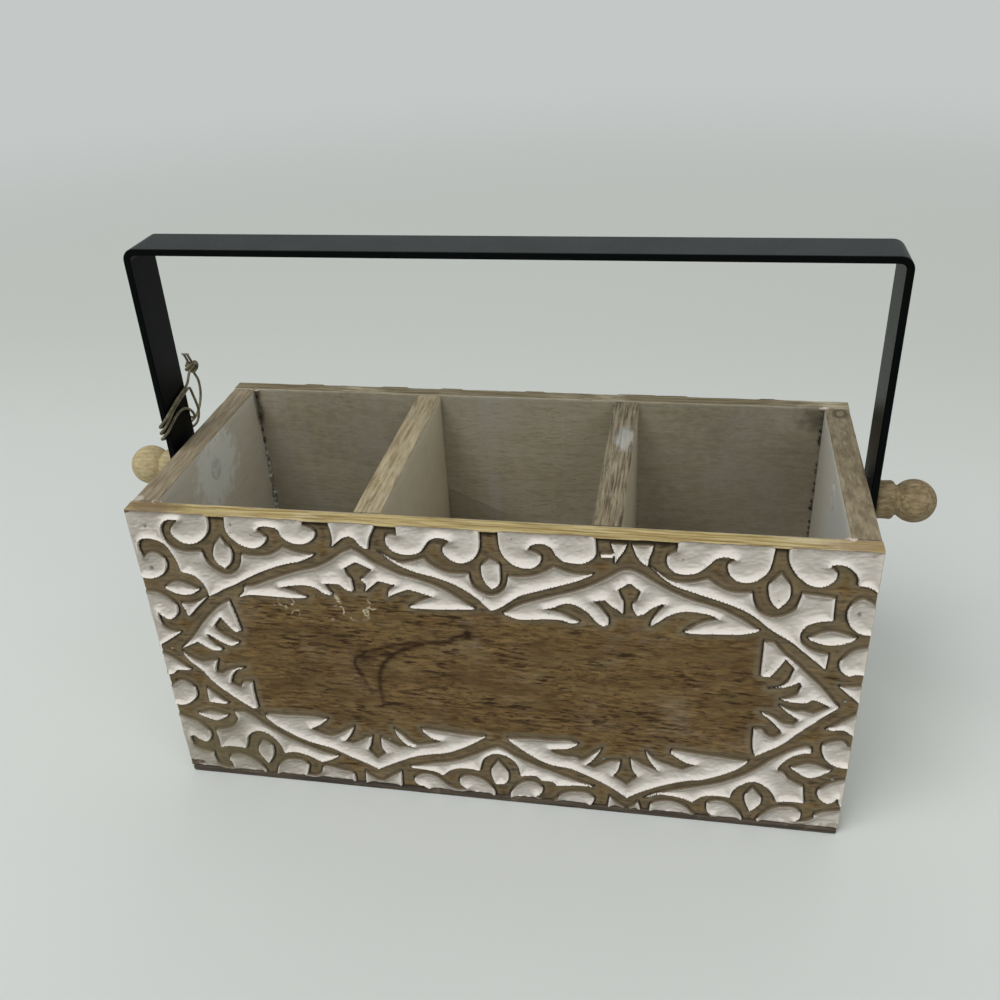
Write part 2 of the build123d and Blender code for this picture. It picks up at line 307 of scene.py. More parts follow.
# Twine round the left leg. The route is the same as the solid's, in millimetres
twine = {"diameter": 1.3, "strands": 3, "layLength": 3.4, "strandRelief": 0.17, "sides": 15}
twineRoute = [
    (-156.1, 22.8, 175.6), (-155.5, 19.2, 174.9), (-154.6, 15.8, 173.4), (-153.8, 12.2, 172.1),
    (-153.65, 5.4, 171.1), (-153.65, -1.4, 170.0), (-153.65, -7.0, 168.5), (-153.6, -13.6, 166.5),
    (-158.5, -13.2, 161.8), (-158.6, -6.4, 159.8), (-158.4, 0.2, 157.9), (-158.6, 6.8, 156.2),
    (-158.5, 14.4, 154.2), (-153.8, 13.9, 154.3), (-153.65, 11.4, 159.2), (-153.65, 6.6, 163.0),
    (-153.65, 1.0, 164.4), (-153.65, -6.0, 163.4), (-153.6, -13.9, 160.3), (-158.6, -13.8, 156.0),
    (-158.6, -6.4, 153.9), (-158.4, 0.2, 151.9), (-158.6, 6.8, 150.2), (-158.0, 13.2, 148.4),
    (-156.0, 18.6, 149.0), (-155.2, 20.9, 154.4), (-155.0, 19.2, 160.2), (-154.8, 17.0, 165.6),
    (-154.0, 14.4, 170.4), (-153.65, 8.4, 169.9), (-153.65, 1.8, 168.9), (-153.65, -5.6, 167.2),
    (-153.6, -13.8, 163.5), (-158.6, -13.6, 158.8), (-158.6, -6.4, 156.8), (-158.4, 0.2, 154.9),
    (-158.6, 6.8, 153.2), (-158.7, 13.6, 151.2), (-159.2, 20.8, 149.2), (-158.7, 27.0, 151.4),
    (-158.2, 30.9, 157.2), (-157.8, 31.4, 162.6), (-157.2, 29.8, 167.4), (-156.7, 26.6, 171.4),
    (-156.5, 25.2, 174.0),
]
knotShape = {
    "centre": (-156.4, 24.8, 175.9),
    "size": (2.0, 2.3, 2.1),
    "loops": [(1.0, 0), (0.86, 62), (0.66, 28), (0.4, 80)],
    "loopSteps": 90,
    "lobeDepth": 0.42,
    "tails": 8.0,
    "tailSteps": 24,
    "tailGap": 0.66,
    "lean": 22,
    "spread": 2.5,
    "frayedEnds": 15,
    "hair": 0.2,
    "loopSides": 12,
    "tailSides": 10,
    "tailRelief": 0.2,
    "hairSides": 4,
    "hairStrands": 2,
    "hairRelief": 0.1,
}


def makeTwineFibre():
    material, tree, shader = startMaterial("twineFibre")
    place = objectPlace(tree)
    tone = cloud(place, 420.0, 5.0, 0.7)
    patch = rubbedAt(place, 160.0, 0.4, 0.7)
    color = blendColors(ramp(tone, 0.3, 0.72), shade(76, 69, 49), shade(142, 132, 104))
    color = tint(color, shade(70, 66, 48), patch, 0.4)
    feed(shader.inputs["Base Color"], color)
    shader.inputs["Roughness"].default_value = 0.92
    shader.inputs["Specular IOR Level"].default_value = 0.2
    shader.inputs["Sheen Weight"].default_value = 0.25
    addBump(shader, cloud(place, 2600.0, 3.0), 0.6, 0.0002)
    return material


def nurbsLine(name, route):
    # The smooth line through the route's control points, as a list of points in metres
    data = bpy.data.curves.new(name, "CURVE")
    data.dimensions = "3D"
    spline = data.splines.new("NURBS")
    spline.points.add(len(route) - 1)
    for point, place in zip(spline.points, route):
        point.co = (*[v * millimetre for v in place], 1)
    spline.order_u = 3
    spline.use_endpoint_u = True
    spline.resolution_u = 24
    guide = linkPiece(name, data)
    line = bpy.data.meshes.new_from_object(guide)
    points = [v.co.copy() for v in line.vertices]
    bpy.data.objects.remove(guide)
    bpy.data.meshes.remove(line)
    return points


def lineLength(points):
    return sum((after - before).length for before, after in zip(points, points[1:]))


def twistedTube(points, radius, layLength, strands, relief, sides, closed=False, taper=None):
    # One closed skin with the hollows between its strands winding along it
    count = len(points)
    rings = []
    side = None
    travelled = 0.0
    total = lineLength(points)
    for number, point in enumerate(points):
        before = points[number - 1] if number or closed else point
        after = points[(number + 1) % count] if number < count - 1 or closed else point
        along = (after - before).normalized()
        if side is None:
            side = along.orthogonal().normalized()
        side = (side - along * side.dot(along)).normalized()
        other = along.cross(side)
        if number:
            travelled += (point - points[number - 1]).length
        turns = travelled / layLength
        if closed:
            turns = number / count * round(total / layLength)
        size = radius * (taper(number / (count - 1)) if taper else 1.0)
        ring = []
        for step in range(sides):
            angle = 2 * math.pi * step / sides
            lobe = abs(math.cos(strands / 2 * (angle - 2 * math.pi * turns)))
            reach = size * (1 - relief + relief * lobe)
            ring.append(point + (side * math.cos(angle) + other * math.sin(angle)) * reach)
        rings.append(ring)
    verts = [v for ring in rings for v in ring]
    faces = []
    for number in range(count if closed else count - 1):
        faces += bandFaces(number * sides, (number + 1) % count * sides, sides)
    if not closed:
        faces.append(tuple(reversed(range(sides))))
        faces.append(tuple(range((count - 1) * sides, count * sides)))
    return verts, faces


def joinParts(parts):
    verts, faces = [], []
    for partVerts, partFaces in parts:
        start = len(verts)
        verts.extend(partVerts)
        faces.extend(tuple(i + start for i in face) for face in partFaces)
    return verts, faces


def makeTwine():
    material = makeTwineFibre()
    line = nurbsLine("twineGuide", twineRoute)
    radius = twine["diameter"] / 2 * millimetre
    lay = twine["layLength"] * millimetre
    strands, relief = twine["strands"], twine["strandRelief"]
    verts, faces = twistedTube(line, radius, lay, strands, relief, twine["sides"])
    piece = meshPiece("twineLoop", verts, faces, material, smoothAngle=80)
    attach(piece, handleBody)
    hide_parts("tag_string")
    knot = makeKnot(material, radius, lay)


def tailTaper(share):
    return 0.93 - 0.25 * max(0.0, share - 0.8)


def hairTaper(share):
    return 1 - 0.7 * share


def knotLoop(centre, size, angle):
    # One closed loop of the knot's body, wound twice round while it dips three times
    wide, deep, tall = (v * millimetre for v in knotShape["size"])
    steps = knotShape["loopSteps"]
    loop = []
    for number in range(steps):
        turn = 2 * math.pi * number / steps
        spread = (1 + knotShape["lobeDepth"] * math.cos(3 * turn)) * size
        loop.append(centre + Vector((
            wide * spread * math.cos(2 * turn + math.radians(angle)),
            deep * spread * math.sin(2 * turn + math.radians(angle)),
            tall * 0.85 * size * math.sin(3 * turn),
        )))
    return loop


def knotTail(centre, sign):
    # A cut end, leaning back from the knot
    lean = Matrix.Rotation(math.radians(knotShape["lean"]), 3, "X")
    lean = lean @ Matrix.Rotation(math.radians(sign * knotShape["spread"]), 3, "Y")
    steps = knotShape["tailSteps"]
    tail = []
    for number in range(steps):
        share = number / (steps - 1)
        aside = sign * (knotShape["tailGap"] + 0.12 * math.sin(5 * share))
        bend = Vector((aside, 0.3 * math.sin(4 * share), 0))
        tail.append(centre + (lean @ Vector((0, 0, knotShape["tails"] * share)) + bend) * millimetre)
    return tail


def frayedHair(tail, radius, angle):
    # A single fibre that flares out past the end of a tail
    out = Vector((math.cos(angle), math.sin(angle), 0)) * radius * 0.55
    rise = tail[-1] - tail[-3]
    hair = []
    for step in range(5):
        share = step / 4
        flare = out * (0.9 + 1.9 * share)
        hair.append(tail[-3] + rise * (1 + share * (0.9 + 0.5 * math.sin(angle * 3))) + flare)
    return hair


def makeKnot(material, radius, lay):
    centre = Vector(knotShape["centre"]) * millimetre
    strands, relief = twine["strands"], twine["strandRelief"]
    tailForm = (strands, knotShape["tailRelief"], knotShape["tailSides"])
    hairForm = (knotShape["hairStrands"], knotShape["hairRelief"], knotShape["hairSides"])
    hairRadius = knotShape["hair"] * millimetre
    parts = []
    for size, angle in knotShape["loops"]:
        loop = knotLoop(centre, size, angle)
        tube = twistedTube(loop, radius, lay, strands, relief, knotShape["loopSides"], closed=True)
        parts.append(tube)
    for sign in (-1, 1):
        tail = knotTail(centre, sign)
        parts.append(twistedTube(tail, radius, lay, *tailForm, taper=tailTaper))
        for number in range(knotShape["frayedEnds"]):
            hair = frayedHair(tail, radius, 2.4 * number)
            parts.append(twistedTube(hair, hairRadius, lay, *hairForm, taper=hairTaper))
    verts, faces = joinParts(parts)
    knot = meshPiece("twineKnot", verts, faces, material, smoothAngle=80)
    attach(knot, handleBody)
    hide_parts("string_knot")
    return knot


makeTwine()


# Carved boards, in millimetres
carving = {
    "relief": 1.45,
    "edgeSlope": 0.24,
    "outlineCut": 0.6,
    "upperShift": 0.3,
    "upperWear": 0.45,
    "outlineCutWidth": 0.5,
    "dishDepth": 1.7,
    "dishStart": 0.3,
    "dishReach": 1.7,
    "toolMarks": 0.4,
    "topUnevenness": 0.12,
    "groundUnevenness": 0.12,
    "topLip": 0.75,
    "lipRaggedness": 0.6,
    "lipDepth": 0.12,
    "rimRounding": 0.4,
    "rimWear": 0.10,
    "reach": 5.0,
}
# Each outline of a raised part: (along the board, up from the table), and a third number
# marks a sharp corner
carvedOutlines = {
    "cornerTopLeft": [
        (37.2, 151, 1), (36.9, 144), (35.3, 140), (31.3, 136.3), (26.5, 135), (22.1, 136.5),
        (19.6, 140), (20.1, 142.8), (23.8, 146.7, 1), (19.6, 146.5), (16.7, 144.5), (15, 141),
        (15.2, 137), (17.2, 134), (20.6, 131.6), (24.5, 130.9), (30.9, 131.6, 1), (32.3, 127),
        (35.8, 122.5), (40.2, 120.2), (44.6, 121.8), (48, 126.5), (49.2, 131.3, 1), (54.9, 130.8),
        (60.8, 131.5), (64.7, 133.5), (68.1, 136, 1), (73.6, 134), (81.4, 133, 1), (75.5, 129.8),
        (67.7, 127.5), (59.8, 124.3), (51, 119.7), (44.1, 115.5), (38.2, 112.5), (34.3, 110),
        (30.1, 108, 1), (30.2, 110.5), (28.9, 114.5), (25.5, 118.6), (19.8, 120.3, 1),
        (19.2, 124.5), (17.9, 129), (15.2, 134), (11.8, 136), (7.9, 136.6), (4.5, 135.5),
        (2.7, 132.5), (2.7, 129), (3.8, 126.3, 1), (5.9, 128.6), (8.9, 129.5), (12.1, 128),
        (13.5, 125), (13.2, 121.5), (10.8, 118), (6.9, 116), (3, 115.6), (-1, 116.5, 1),
        (-1, 151, 1),
    ],
    "lobesLeftOfPeak": [
        (45.1, 151, 1), (44.4, 144), (46, 139.5), (50, 136), (54.9, 134.8), (58.8, 136),
        (61.6, 139.5), (60.3, 142), (57.8, 143.5, 1), (59.8, 145.5), (62.7, 146), (67.2, 145),
        (68.6, 141.5), (71.6, 139), (76.5, 138.3), (80.4, 139.5), (82.9, 142), (82.9, 145),
        (80.4, 146.8), (78.5, 147.5, 1), (77.5, 151, 1),
    ],
    "peakLeft": [
        (89.3, 151, 1), (90.3, 145), (90.3, 141), (89.6, 137.5, 1), (92.3, 140), (95.2, 142.5),
        (97.7, 143.5, 1), (99.7, 142.5), (102.2, 139), (105.1, 137.5, 1), (105.6, 141),
        (106.6, 144), (108.1, 147), (109.6, 151, 1),
    ],
    "peakRightA": [
        (203.9, 147, 1), (210, 147, 1), (209, 144), (206.9, 140.5), (205.4, 137.5, 1), (205.4, 142),
        (204.4, 145, 1),
    ],
    "peakRightB": [
        (212, 147, 1), (220.1, 147.3, 1), (219.6, 144), (218.6, 141), (218.3, 137.5, 1),
        (215.5, 139.5), (213.5, 142.5, 1),
    ],
    "peakRightBar": [
        (199.9, 142, 1), (205.4, 142.3, 1), (204.9, 140.7, 1), (199.9, 140.5, 1),
    ],
    "lobesLeftOfMiddle": [
        (151.8, 151, 1), (151.6, 142), (149.8, 137), (146.8, 134.5), (142.8, 133.7), (139.3, 135),
        (136.8, 137.7), (136.6, 140.5), (139.6, 144, 1), (135.8, 145.3), (131.9, 144), (129.4, 141),
        (127.4, 138), (123.9, 136.5), (119, 136.4), (115, 138), (113, 141.5), (113.8, 145),
        (117.8, 145.3, 1), (118, 151, 1),
    ],
    "lobesRightOfMiddle": [
        (159.3, 151, 1), (159.6, 143), (161.3, 138), (164.8, 134.5), (168.8, 133.2), (172.8, 133.4),
        (175.8, 136), (176.1, 139.5), (173.8, 141), (171, 142, 1), (172.8, 144.2), (176.8, 145.3),
        (180.3, 143.5), (182.3, 140), (184.8, 137.7), (188.8, 137), (193.8, 137.3), (197.4, 140),
        (198.1, 143), (197.4, 151, 1),
    ],
    "lobesRightOfPeak": [
        (229.2, 151, 1), (229.2, 145.5), (226.2, 143.5), (225.5, 140), (226.7, 137), (229.2, 135.3),
        (234.3, 135), (238.4, 136.5), (241.4, 139.5), (244.5, 143), (247.5, 144), (251.6, 143, 1),
        (249, 141), (248.8, 138), (250.1, 135), (253.1, 133), (258.8, 133.3), (262.3, 136),
        (264.4, 140), (265.7, 151, 1),
    ],
    "cornerTopRight": [
        (270.5, 151, 1), (271, 144), (272.6, 140), (275.2, 136.5), (279.3, 133.5), (284.4, 133),
        (288, 135.5), (289.1, 138.5), (287.5, 141.5), (286.2, 142, 1), (287.5, 143.3), (291.6, 143),
        (295.3, 140), (297.1, 136.5), (297.1, 134.5, 1), (299.9, 134.3), (303, 132.8),
        (306, 130, 1), (306, 151, 1),
    ],
    "almondTopLeft": [
        (41.1, 139.5, 1), (37.8, 135), (36.5, 130), (37.7, 126), (40.7, 123.2, 1), (43.7, 126.5),
        (44.9, 131), (44.1, 134.5, 1), (42.7, 136, 1),
    ],
    "almondTopMiddle": [
        (155.3, 136.5, 1), (152.1, 133), (151.8, 129), (153.3, 124.5), (155.8, 121.5, 1),
        (158.8, 124), (159.4, 130), (158.8, 134.5),
    ],
    "almondTopRight": [
        (268.7, 138, 1), (265.1, 133), (264.6, 130), (265.9, 124.5), (268.8, 121, 1),
        (271.7, 124.5), (272.9, 128), (272.1, 133),
    ],
    "almondLowMiddle": [
        (153.8, 25.8, 1), (150.3, 18.4), (151.9, 10.7, 1), (157.2, 12.3), (158, 18.4),
    ],
    "almondLowLeft": [
        (40.4, 24.9, 1), (37.3, 18.1), (41.1, 9.4, 1), (44.2, 14.9), (44.5, 21.7),
    ],
    "almondLowRight": [
        (266.8, 23.9, 1), (263.8, 17.3), (266.5, 8.5, 1), (271, 16.2),
    ],
    "almondLeftUp": [
        (10.1, 111, 1), (13.7, 113.9), (17.6, 114.6), (22.5, 113), (26.2, 111, 1), (23, 108.8),
        (18.1, 108), (13.7, 109),
    ],
    "almondLeftLow": [
        (10.8, 38, 1), (17.5, 40.1), (25.7, 38.3, 1), (19.5, 35.1),
    ],
    "almondRightUp": [
        (281.5, 107.5, 1), (285.4, 110.5), (290.6, 112), (295.8, 110.8), (299.9, 109.2, 1),
        (295.8, 106.5), (289.6, 105.3), (285.4, 106),
    ],
    "almondRightLow": [
        (281.5, 37.4, 1), (289.2, 40.9), (298.3, 37.9, 1), (289.8, 33),
    ],
    "leafLeftUp": [
        (16.2, 103, 1), (21.6, 103.5), (28.9, 107.2, 1), (23.5, 101.5), (18.1, 95.5, 1),
        (17.5, 99.5),
    ],
    "leafLeftLow": [
        (18.2, 54.8, 1), (18, 46.4, 1), (27.2, 45.9, 1), (22.6, 50.6),
    ],
    "edgeLobeLeftUp": [
        (-1, 108.3, 1), (5.9, 108), (10.3, 105.5), (13.1, 102), (13.5, 98.5), (11.8, 95.3),
        (8.9, 93.8), (6.2, 94.8), (4, 97, 1), (3.3, 94), (4, 90.5), (6.9, 87.5), (12.1, 86.4, 1),
        (6.9, 82.5), (0, 77.8), (-1, 77, 1),
    ],
    "edgeLobeLeftMid": [
        (-1, 43.8, 1), (4.2, 43), (9.2, 45.4), (12.1, 49), (12.1, 53.8), (10.3, 56.4), (6.4, 58),
        (3.1, 56.6, 1), (1, 54.5), (-1, 54, 1),
    ],
    "edgePieceLeft": [
        (-1, 61.1, 1), (3.7, 61.9), (6.2, 64.3), (12.4, 64.8, 1), (9.2, 67.9), (3.7, 72.1),
        (-1, 74.8, 1),
    ],
    "gullTopMiddle": [
        (109.1, 136.3, 1), (114, 133.5), (118, 132), (122.9, 133), (128.4, 135, 1), (130.9, 132),
        (134.9, 129.5), (138.8, 128.3), (146.3, 128.6, 1), (146.8, 125), (148.8, 121.5),
        (151.8, 119.3), (154.8, 118.3), (158.8, 120), (161.8, 124), (162.8, 128.8, 1),
        (165.8, 128.5), (171.8, 129.3), (176.8, 131.5), (181.3, 134.5, 1), (184.8, 133),
        (189.8, 131.8), (196.9, 131.8, 1), (190.8, 128.5), (182.8, 125.3), (174.8, 122.3),
        (167.8, 119.5), (163.8, 116.5), (158.8, 112.5), (154.8, 111), (152.8, 112.5), (149.8, 116),
        (144.8, 120), (138.8, 123.5), (131.9, 126), (123.9, 128), (117, 131),
    ],
    "gullTopRight": [
        (219.1, 137, 1), (223.1, 134), (227.2, 131.5), (234.3, 131), (241.7, 133.3, 1),
        (244.5, 131), (248.5, 128.5), (252.6, 127.7), (258.5, 128.2, 1), (259.3, 124), (261.3, 120),
        (264.9, 117.5), (268, 117), (272.1, 118.5), (275.7, 122), (277.2, 127), (277.5, 129.2, 1),
        (283.4, 128.7), (289.6, 128, 1), (289.8, 120), (290.1, 117.3, 1), (285.4, 116.5),
        (281.3, 114.5), (278.8, 111), (278.6, 107), (280.8, 104), (284.9, 101.5), (290.1, 100.5, 1),
        (289.8, 92.7, 1), (285.4, 96.5), (280.3, 101), (275.2, 105.5), (269, 109.5), (264.9, 112.5),
        (259.8, 117), (253.6, 120.5), (245.5, 123.5), (236.3, 126.5), (227.2, 130),
    ],
    "fringeTopLeft": [
        (43.9, 108.2, 1), (47, 112), (47.5, 114.5), (51, 115), (58.8, 118.5), (65.7, 121.5),
        (73.6, 124.5), (81.4, 127), (88.3, 131), (93.3, 135), (97.7, 137.3, 1), (101.2, 135.5),
        (106.1, 131.5), (112, 128.5), (117, 126), (123.9, 124.3), (130.9, 122), (136.8, 119),
        (141.8, 115.5), (148, 110.8, 1), (140.8, 110.3), (132.9, 109.6), (120, 109.2, 1),
        (123.9, 112.5), (130.5, 115.9, 1), (125.4, 117.5), (120.5, 118.8, 1), (114, 115.8),
        (111.1, 113.8, 1), (112, 117.5), (115, 120.5, 1), (108.1, 122.2, 1), (103.1, 117.5),
        (101.2, 115.5, 1), (102, 118), (102.2, 120), (100.2, 121.8, 1), (102.6, 124.5),
        (105.6, 127.8, 1), (99.2, 131, 1), (93.1, 127, 1), (94.3, 124.5), (95.7, 122), (96.2, 119),
        (96.2, 115.8, 1), (93.3, 116.5), (90.3, 119.3, 1), (83.4, 119, 1), (85.4, 115.5),
        (86.7, 113, 1), (82.9, 114), (79.5, 116.5), (75.5, 117.5), (70.6, 117), (63.7, 115.5, 1),
        (68.6, 114), (72.6, 112), (75, 110.8, 1), (68.6, 110.3), (58.8, 110.5), (49, 110.3),
    ],
    "fringeTopRight": [
        (159.8, 109.5, 1), (165.8, 114), (173.8, 117.5), (181.8, 120.5), (189.8, 123.5),
        (196.9, 127), (202.9, 131), (207.9, 134.5), (211.5, 135.3, 1), (216, 133.5), (222.1, 129.5),
        (228.2, 126), (236.3, 122.5), (246.5, 119.5), (252.6, 116.5), (257.7, 113.5),
        (262.8, 109.7, 1), (256.7, 107.7), (248.5, 107), (241.4, 106.5), (233.6, 106.2, 1),
        (236.3, 109), (240.4, 112), (246.8, 114.2, 1), (243.4, 116), (238.4, 117), (233.3, 117),
        (228.2, 115), (225.1, 112.5), (219.9, 107.8, 1), (221.1, 112), (223.1, 116),
        (225.7, 119.5, 1), (224.6, 120, 1), (220.1, 117), (217.6, 114.5), (214.5, 113.3, 1),
        (213, 116), (212.8, 118.5), (214.5, 121), (216, 125, 1), (211.5, 129, 1), (206.6, 125.2, 1),
        (207.9, 122), (209, 119), (209, 113.2, 1), (206.9, 115.5), (203.9, 117.5), (201.4, 120, 1),
        (196.9, 119, 1), (199.9, 116), (202.9, 111), (203.2, 107.5, 1), (200.9, 107), (197.9, 109),
        (194.8, 113), (189.8, 116.5), (185.8, 117), (180.8, 114.5), (177.3, 113.5, 1),
        (184.8, 111.5), (191.3, 107.8, 1), (187.8, 107.3), (183.8, 108.5), (177.8, 108.5),
        (171.8, 107.7), (165.8, 107.5),
    ],
    "armLeftUp": [
        (10.8, 77, 1), (14.7, 81), (19.6, 87), (24, 93), (29.4, 99), (34.3, 103.5),
        (38.7, 106.3, 1), (40.2, 98), (41.4, 89.8, 1), (38.7, 89.6), (36.2, 92.5), (33.3, 97, 1),
        (28.9, 91.3, 1), (32.3, 87.3), (39.2, 83, 1), (35.8, 81.3), (30.4, 83.5), (25.5, 87, 1),
        (24.5, 85.5), (30.4, 78, 1), (25.5, 78.2), (19.6, 82, 1),
    ],
    "armLeftLow": [
        (10.3, 75, 1), (13.7, 70), (18.6, 65), (22.5, 59), (27.4, 54), (33.3, 49), (39.2, 44.8, 1),
        (41.6, 45, 1), (41.1, 52), (41.4, 60.3, 1), (37.2, 60), (35.8, 57.5), (34.8, 56.5, 1),
        (30.9, 59, 1), (32.3, 63), (35.3, 67), (39.2, 68.3, 1), (36.2, 68), (31.3, 66.5),
        (27.4, 64, 1), (25, 65), (25.5, 68), (26.9, 72, 1), (22.5, 71), (19.1, 70, 1), (14.7, 72),
    ],
    "armsRight": [
        (265.2, 104.5, 1), (269, 104.5, 1), (274.1, 98.5), (279.3, 94), (283.4, 89.5),
        (288.5, 84.5), (293.7, 78), (297.1, 73.2, 1), (292.7, 69), (287.5, 63), (282.4, 57.5),
        (277.2, 51), (272.1, 47), (266.9, 43, 1), (265.9, 43, 1), (264.9, 48), (264.7, 58, 1),
        (268, 58, 1), (271, 54.5), (273.1, 53.8, 1), (276.2, 57, 1), (274.1, 60), (270, 64.5),
        (266.9, 67, 1), (271, 66), (276.2, 62.5), (280.3, 62, 1), (282.4, 65, 1), (278.2, 68),
        (274.1, 71.5, 1), (280.3, 69.5), (283.4, 70), (287.5, 69, 1), (294.2, 73.5, 1),
        (287, 76.7, 1), (283.9, 74.7), (274.1, 74.8, 1), (277.2, 76.5), (280.3, 79), (281.8, 83, 1),
        (280.3, 85.2, 1), (276.2, 82.5), (269, 80, 1), (273.1, 81.5), (276.2, 85), (278.2, 91.5, 1),
        (274.1, 96.5, 1), (272.1, 92.5), (269, 87, 1), (265.2, 87, 1),
    ],
    "edgeLobeRightUp": [
        (306, 124.5, 1), (303, 127), (299.9, 128.3), (296.8, 126.5), (295, 122), (295.3, 118),
        (297.3, 114), (300.9, 111.8), (306, 111.5, 1),
    ],
    "edgeLobeRightMid": [
        (306, 105.5, 1), (299.9, 103.5), (296.3, 99.5), (294.9, 96), (295.8, 92.5), (298.9, 90.5),
        (302, 91.5), (306, 91.3, 1),
    ],
    "edgePieceRight": [
        (296.3, 84.2, 1), (306, 85.5, 1), (306, 75.2, 1),
    ],
    "edgePieceRightLow": [
        (293.7, 60.7, 1), (295.5, 62.4), (300.5, 66.8), (306, 72, 1), (306, 58, 1), (303.9, 59.1),
        (300, 61.6), (296.6, 61),
    ],
    "edgeLobeRightLow": [
        (303.4, 52.5, 1), (301.2, 55.2), (297.7, 54.7), (293.7, 52.5), (293.2, 50.3), (293.7, 47),
        (296, 43.1), (300.5, 40.7), (306, 40.4, 1), (306, 51, 1),
    ],
    "edgeLobeRightEnd": [
        (306, 33.5, 1), (300.5, 31.6), (296.6, 28.8), (294.3, 25.5), (294.3, 22.2), (296.6, 19.5),
        (299.4, 18.7), (301.7, 20.6), (302.8, 22.2, 1), (303.9, 17.8), (306, 17, 1),
    ],
    "fringeLowLeft": [
        (44.5, 40.1, 1), (48.9, 35.4), (54, 32), (58.6, 29.3), (63.8, 27), (68.4, 25.7),
        (73.7, 24.4), (78.3, 22.3), (83.4, 19.6), (88.1, 17.5), (92.8, 15.2), (96.4, 13.1, 1),
        (101.2, 16), (108.1, 20), (116, 24), (122.9, 26), (130.9, 28), (137.8, 31.5), (143.8, 35.5),
        (148.6, 39.3, 1), (136.8, 39.6), (131.4, 40.1), (123.7, 40.7), (119.4, 40.7, 1),
        (121, 38.2), (123.7, 36), (128.4, 34.9, 1), (125.9, 33.2), (121.6, 31.9), (116.7, 30.8),
        (112.8, 33.2), (109.6, 36.5), (106.3, 39, 1), (108, 34.9), (111.7, 30.2), (115, 29.4, 1),
        (108, 28.3, 1), (104.1, 30.5), (99.4, 33.3, 1), (99.5, 27.5), (101.1, 24, 1),
        (96.4, 19.6, 1), (92.3, 24.9, 1), (93.6, 27), (94.5, 30.7), (95.1, 33.3, 1), (92.3, 32.2),
        (88.6, 29.6), (85, 27.8, 1), (80.8, 29.1, 1), (82.4, 29.6), (85.5, 34.3), (87, 38.3, 1),
        (83.4, 35.9), (78.8, 32.8), (74.6, 31.4), (69.5, 32.8), (65.9, 34.9, 1), (71, 38),
        (74.6, 41.4, 1), (66.9, 42.5), (56.5, 42), (46, 41.5),
    ],
    "fringeLowRight": [
        (158.8, 39.6, 1), (162.1, 36.5), (167.1, 32.4), (172.6, 28.8), (178.6, 26.4), (186.3, 25.3),
        (191.8, 23.1), (197.4, 20.3), (203.9, 16.5), (208.4, 13.2), (212.3, 10.1, 1), (216.7, 13.4),
        (222.3, 17), (228.4, 20.3), (234, 22.8), (240.2, 25), (244.7, 25.8), (250.8, 28.6),
        (255.9, 31.6), (260.4, 34.9), (263.8, 39, 1), (254.2, 39.6), (248.5, 40.1), (240.2, 40.9),
        (231.7, 41.8, 1), (230.9, 39.6, 1), (235.1, 36.5), (238.5, 34.9), (242.1, 34.6, 1),
        (236.2, 30.5, 1), (231.7, 31.9), (226.2, 34.1), (222.8, 36.3), (220.1, 39, 1),
        (221.2, 35.4), (223.4, 31.6), (225.7, 28.6, 1), (222.8, 29.6), (219.5, 31), (216.1, 33.2),
        (213.6, 34.1, 1), (213.9, 30.5), (214.7, 27.2), (216.9, 23.9, 1), (212, 18.1, 1),
        (205.8, 22.8, 1), (208.1, 26.6), (209, 32.1, 1), (203.9, 31.3), (200.6, 28.8),
        (197.3, 26.6, 1), (193.9, 28, 1), (197.3, 32.1), (200.7, 38.2, 1), (197.4, 35.4),
        (191.8, 30.5), (189.6, 31.9), (183.6, 32.1), (179.2, 33.8), (177.5, 36, 1), (181.9, 36.5),
        (186.3, 37.4), (190.2, 39.8, 1), (186.3, 41.5), (178.6, 40.7), (169.8, 40.7),
    ],
    "gullLowMiddle": [
        (112, 16.2, 1), (119.4, 18.9), (127, 20.9), (133.6, 22.8), (139.6, 25.8), (145.1, 29.1),
        (150, 32.1), (153.9, 34.1, 1), (157.2, 32.7), (161.6, 29.4), (167.1, 26.4), (172.6, 23.9),
        (178.6, 21.7), (185.2, 18.9), (189.6, 17.3), (197.4, 14.5, 1), (190.7, 15.1), (185.2, 14.3),
        (180.3, 13.7, 1), (178.1, 15.9), (173.7, 15.9), (170.9, 18.4), (167.1, 18.1),
        (163.8, 17.3, 1), (163.5, 20.6), (162.1, 25), (158.3, 28.8), (153.9, 30.2), (150, 28.6),
        (147.3, 25.8), (145.9, 22.2), (145.1, 18.4, 1), (138.5, 19.2), (133.6, 18.1), (130.3, 15.9),
        (127.6, 12.9, 1), (123.7, 15.1), (118.3, 15.9),
    ],
    "lobesLowLeftOfMiddle": [
        (151.1, 0.5, 1), (151.4, 4.6), (150, 8.5), (147.3, 11.8), (143.4, 13.7), (139, 14.3),
        (135.7, 12.6), (135, 9.6), (136.3, 7.1), (138.2, 6, 1), (136.3, 4.9), (133.1, 4.6),
        (129.8, 6.3), (127, 9), (123.7, 11.8), (118.9, 12.9), (115, 11.2), (113.1, 8.5),
        (114.5, 5.7), (117.2, 4.9), (119.4, 3.5, 1), (120, 0.5, 1),
    ],
    "lobesLowRightOfMiddle": [
        (159.1, 0.5, 1), (158.8, 4.6), (161, 9.6), (164.3, 13.2), (168.7, 14.3), (172.6, 12.6),
        (173.9, 9.6), (172.8, 6.8), (170.6, 5.2, 1), (172.6, 3.8), (177.5, 3), (180.3, 4.6),
        (181.9, 7.4), (185.8, 9.9), (190.7, 10.7), (195.1, 10.1), (197.4, 7.4), (196.9, 4.6),
        (195.8, 3, 1), (195.3, 0.5, 1),
    ],
    "peakLowLeft": [
        (89.4, 10.2, 1), (92.3, 7.6), (95.3, 5.5), (97.7, 5.2, 1), (101.5, 8.5), (106.9, 12.6, 1),
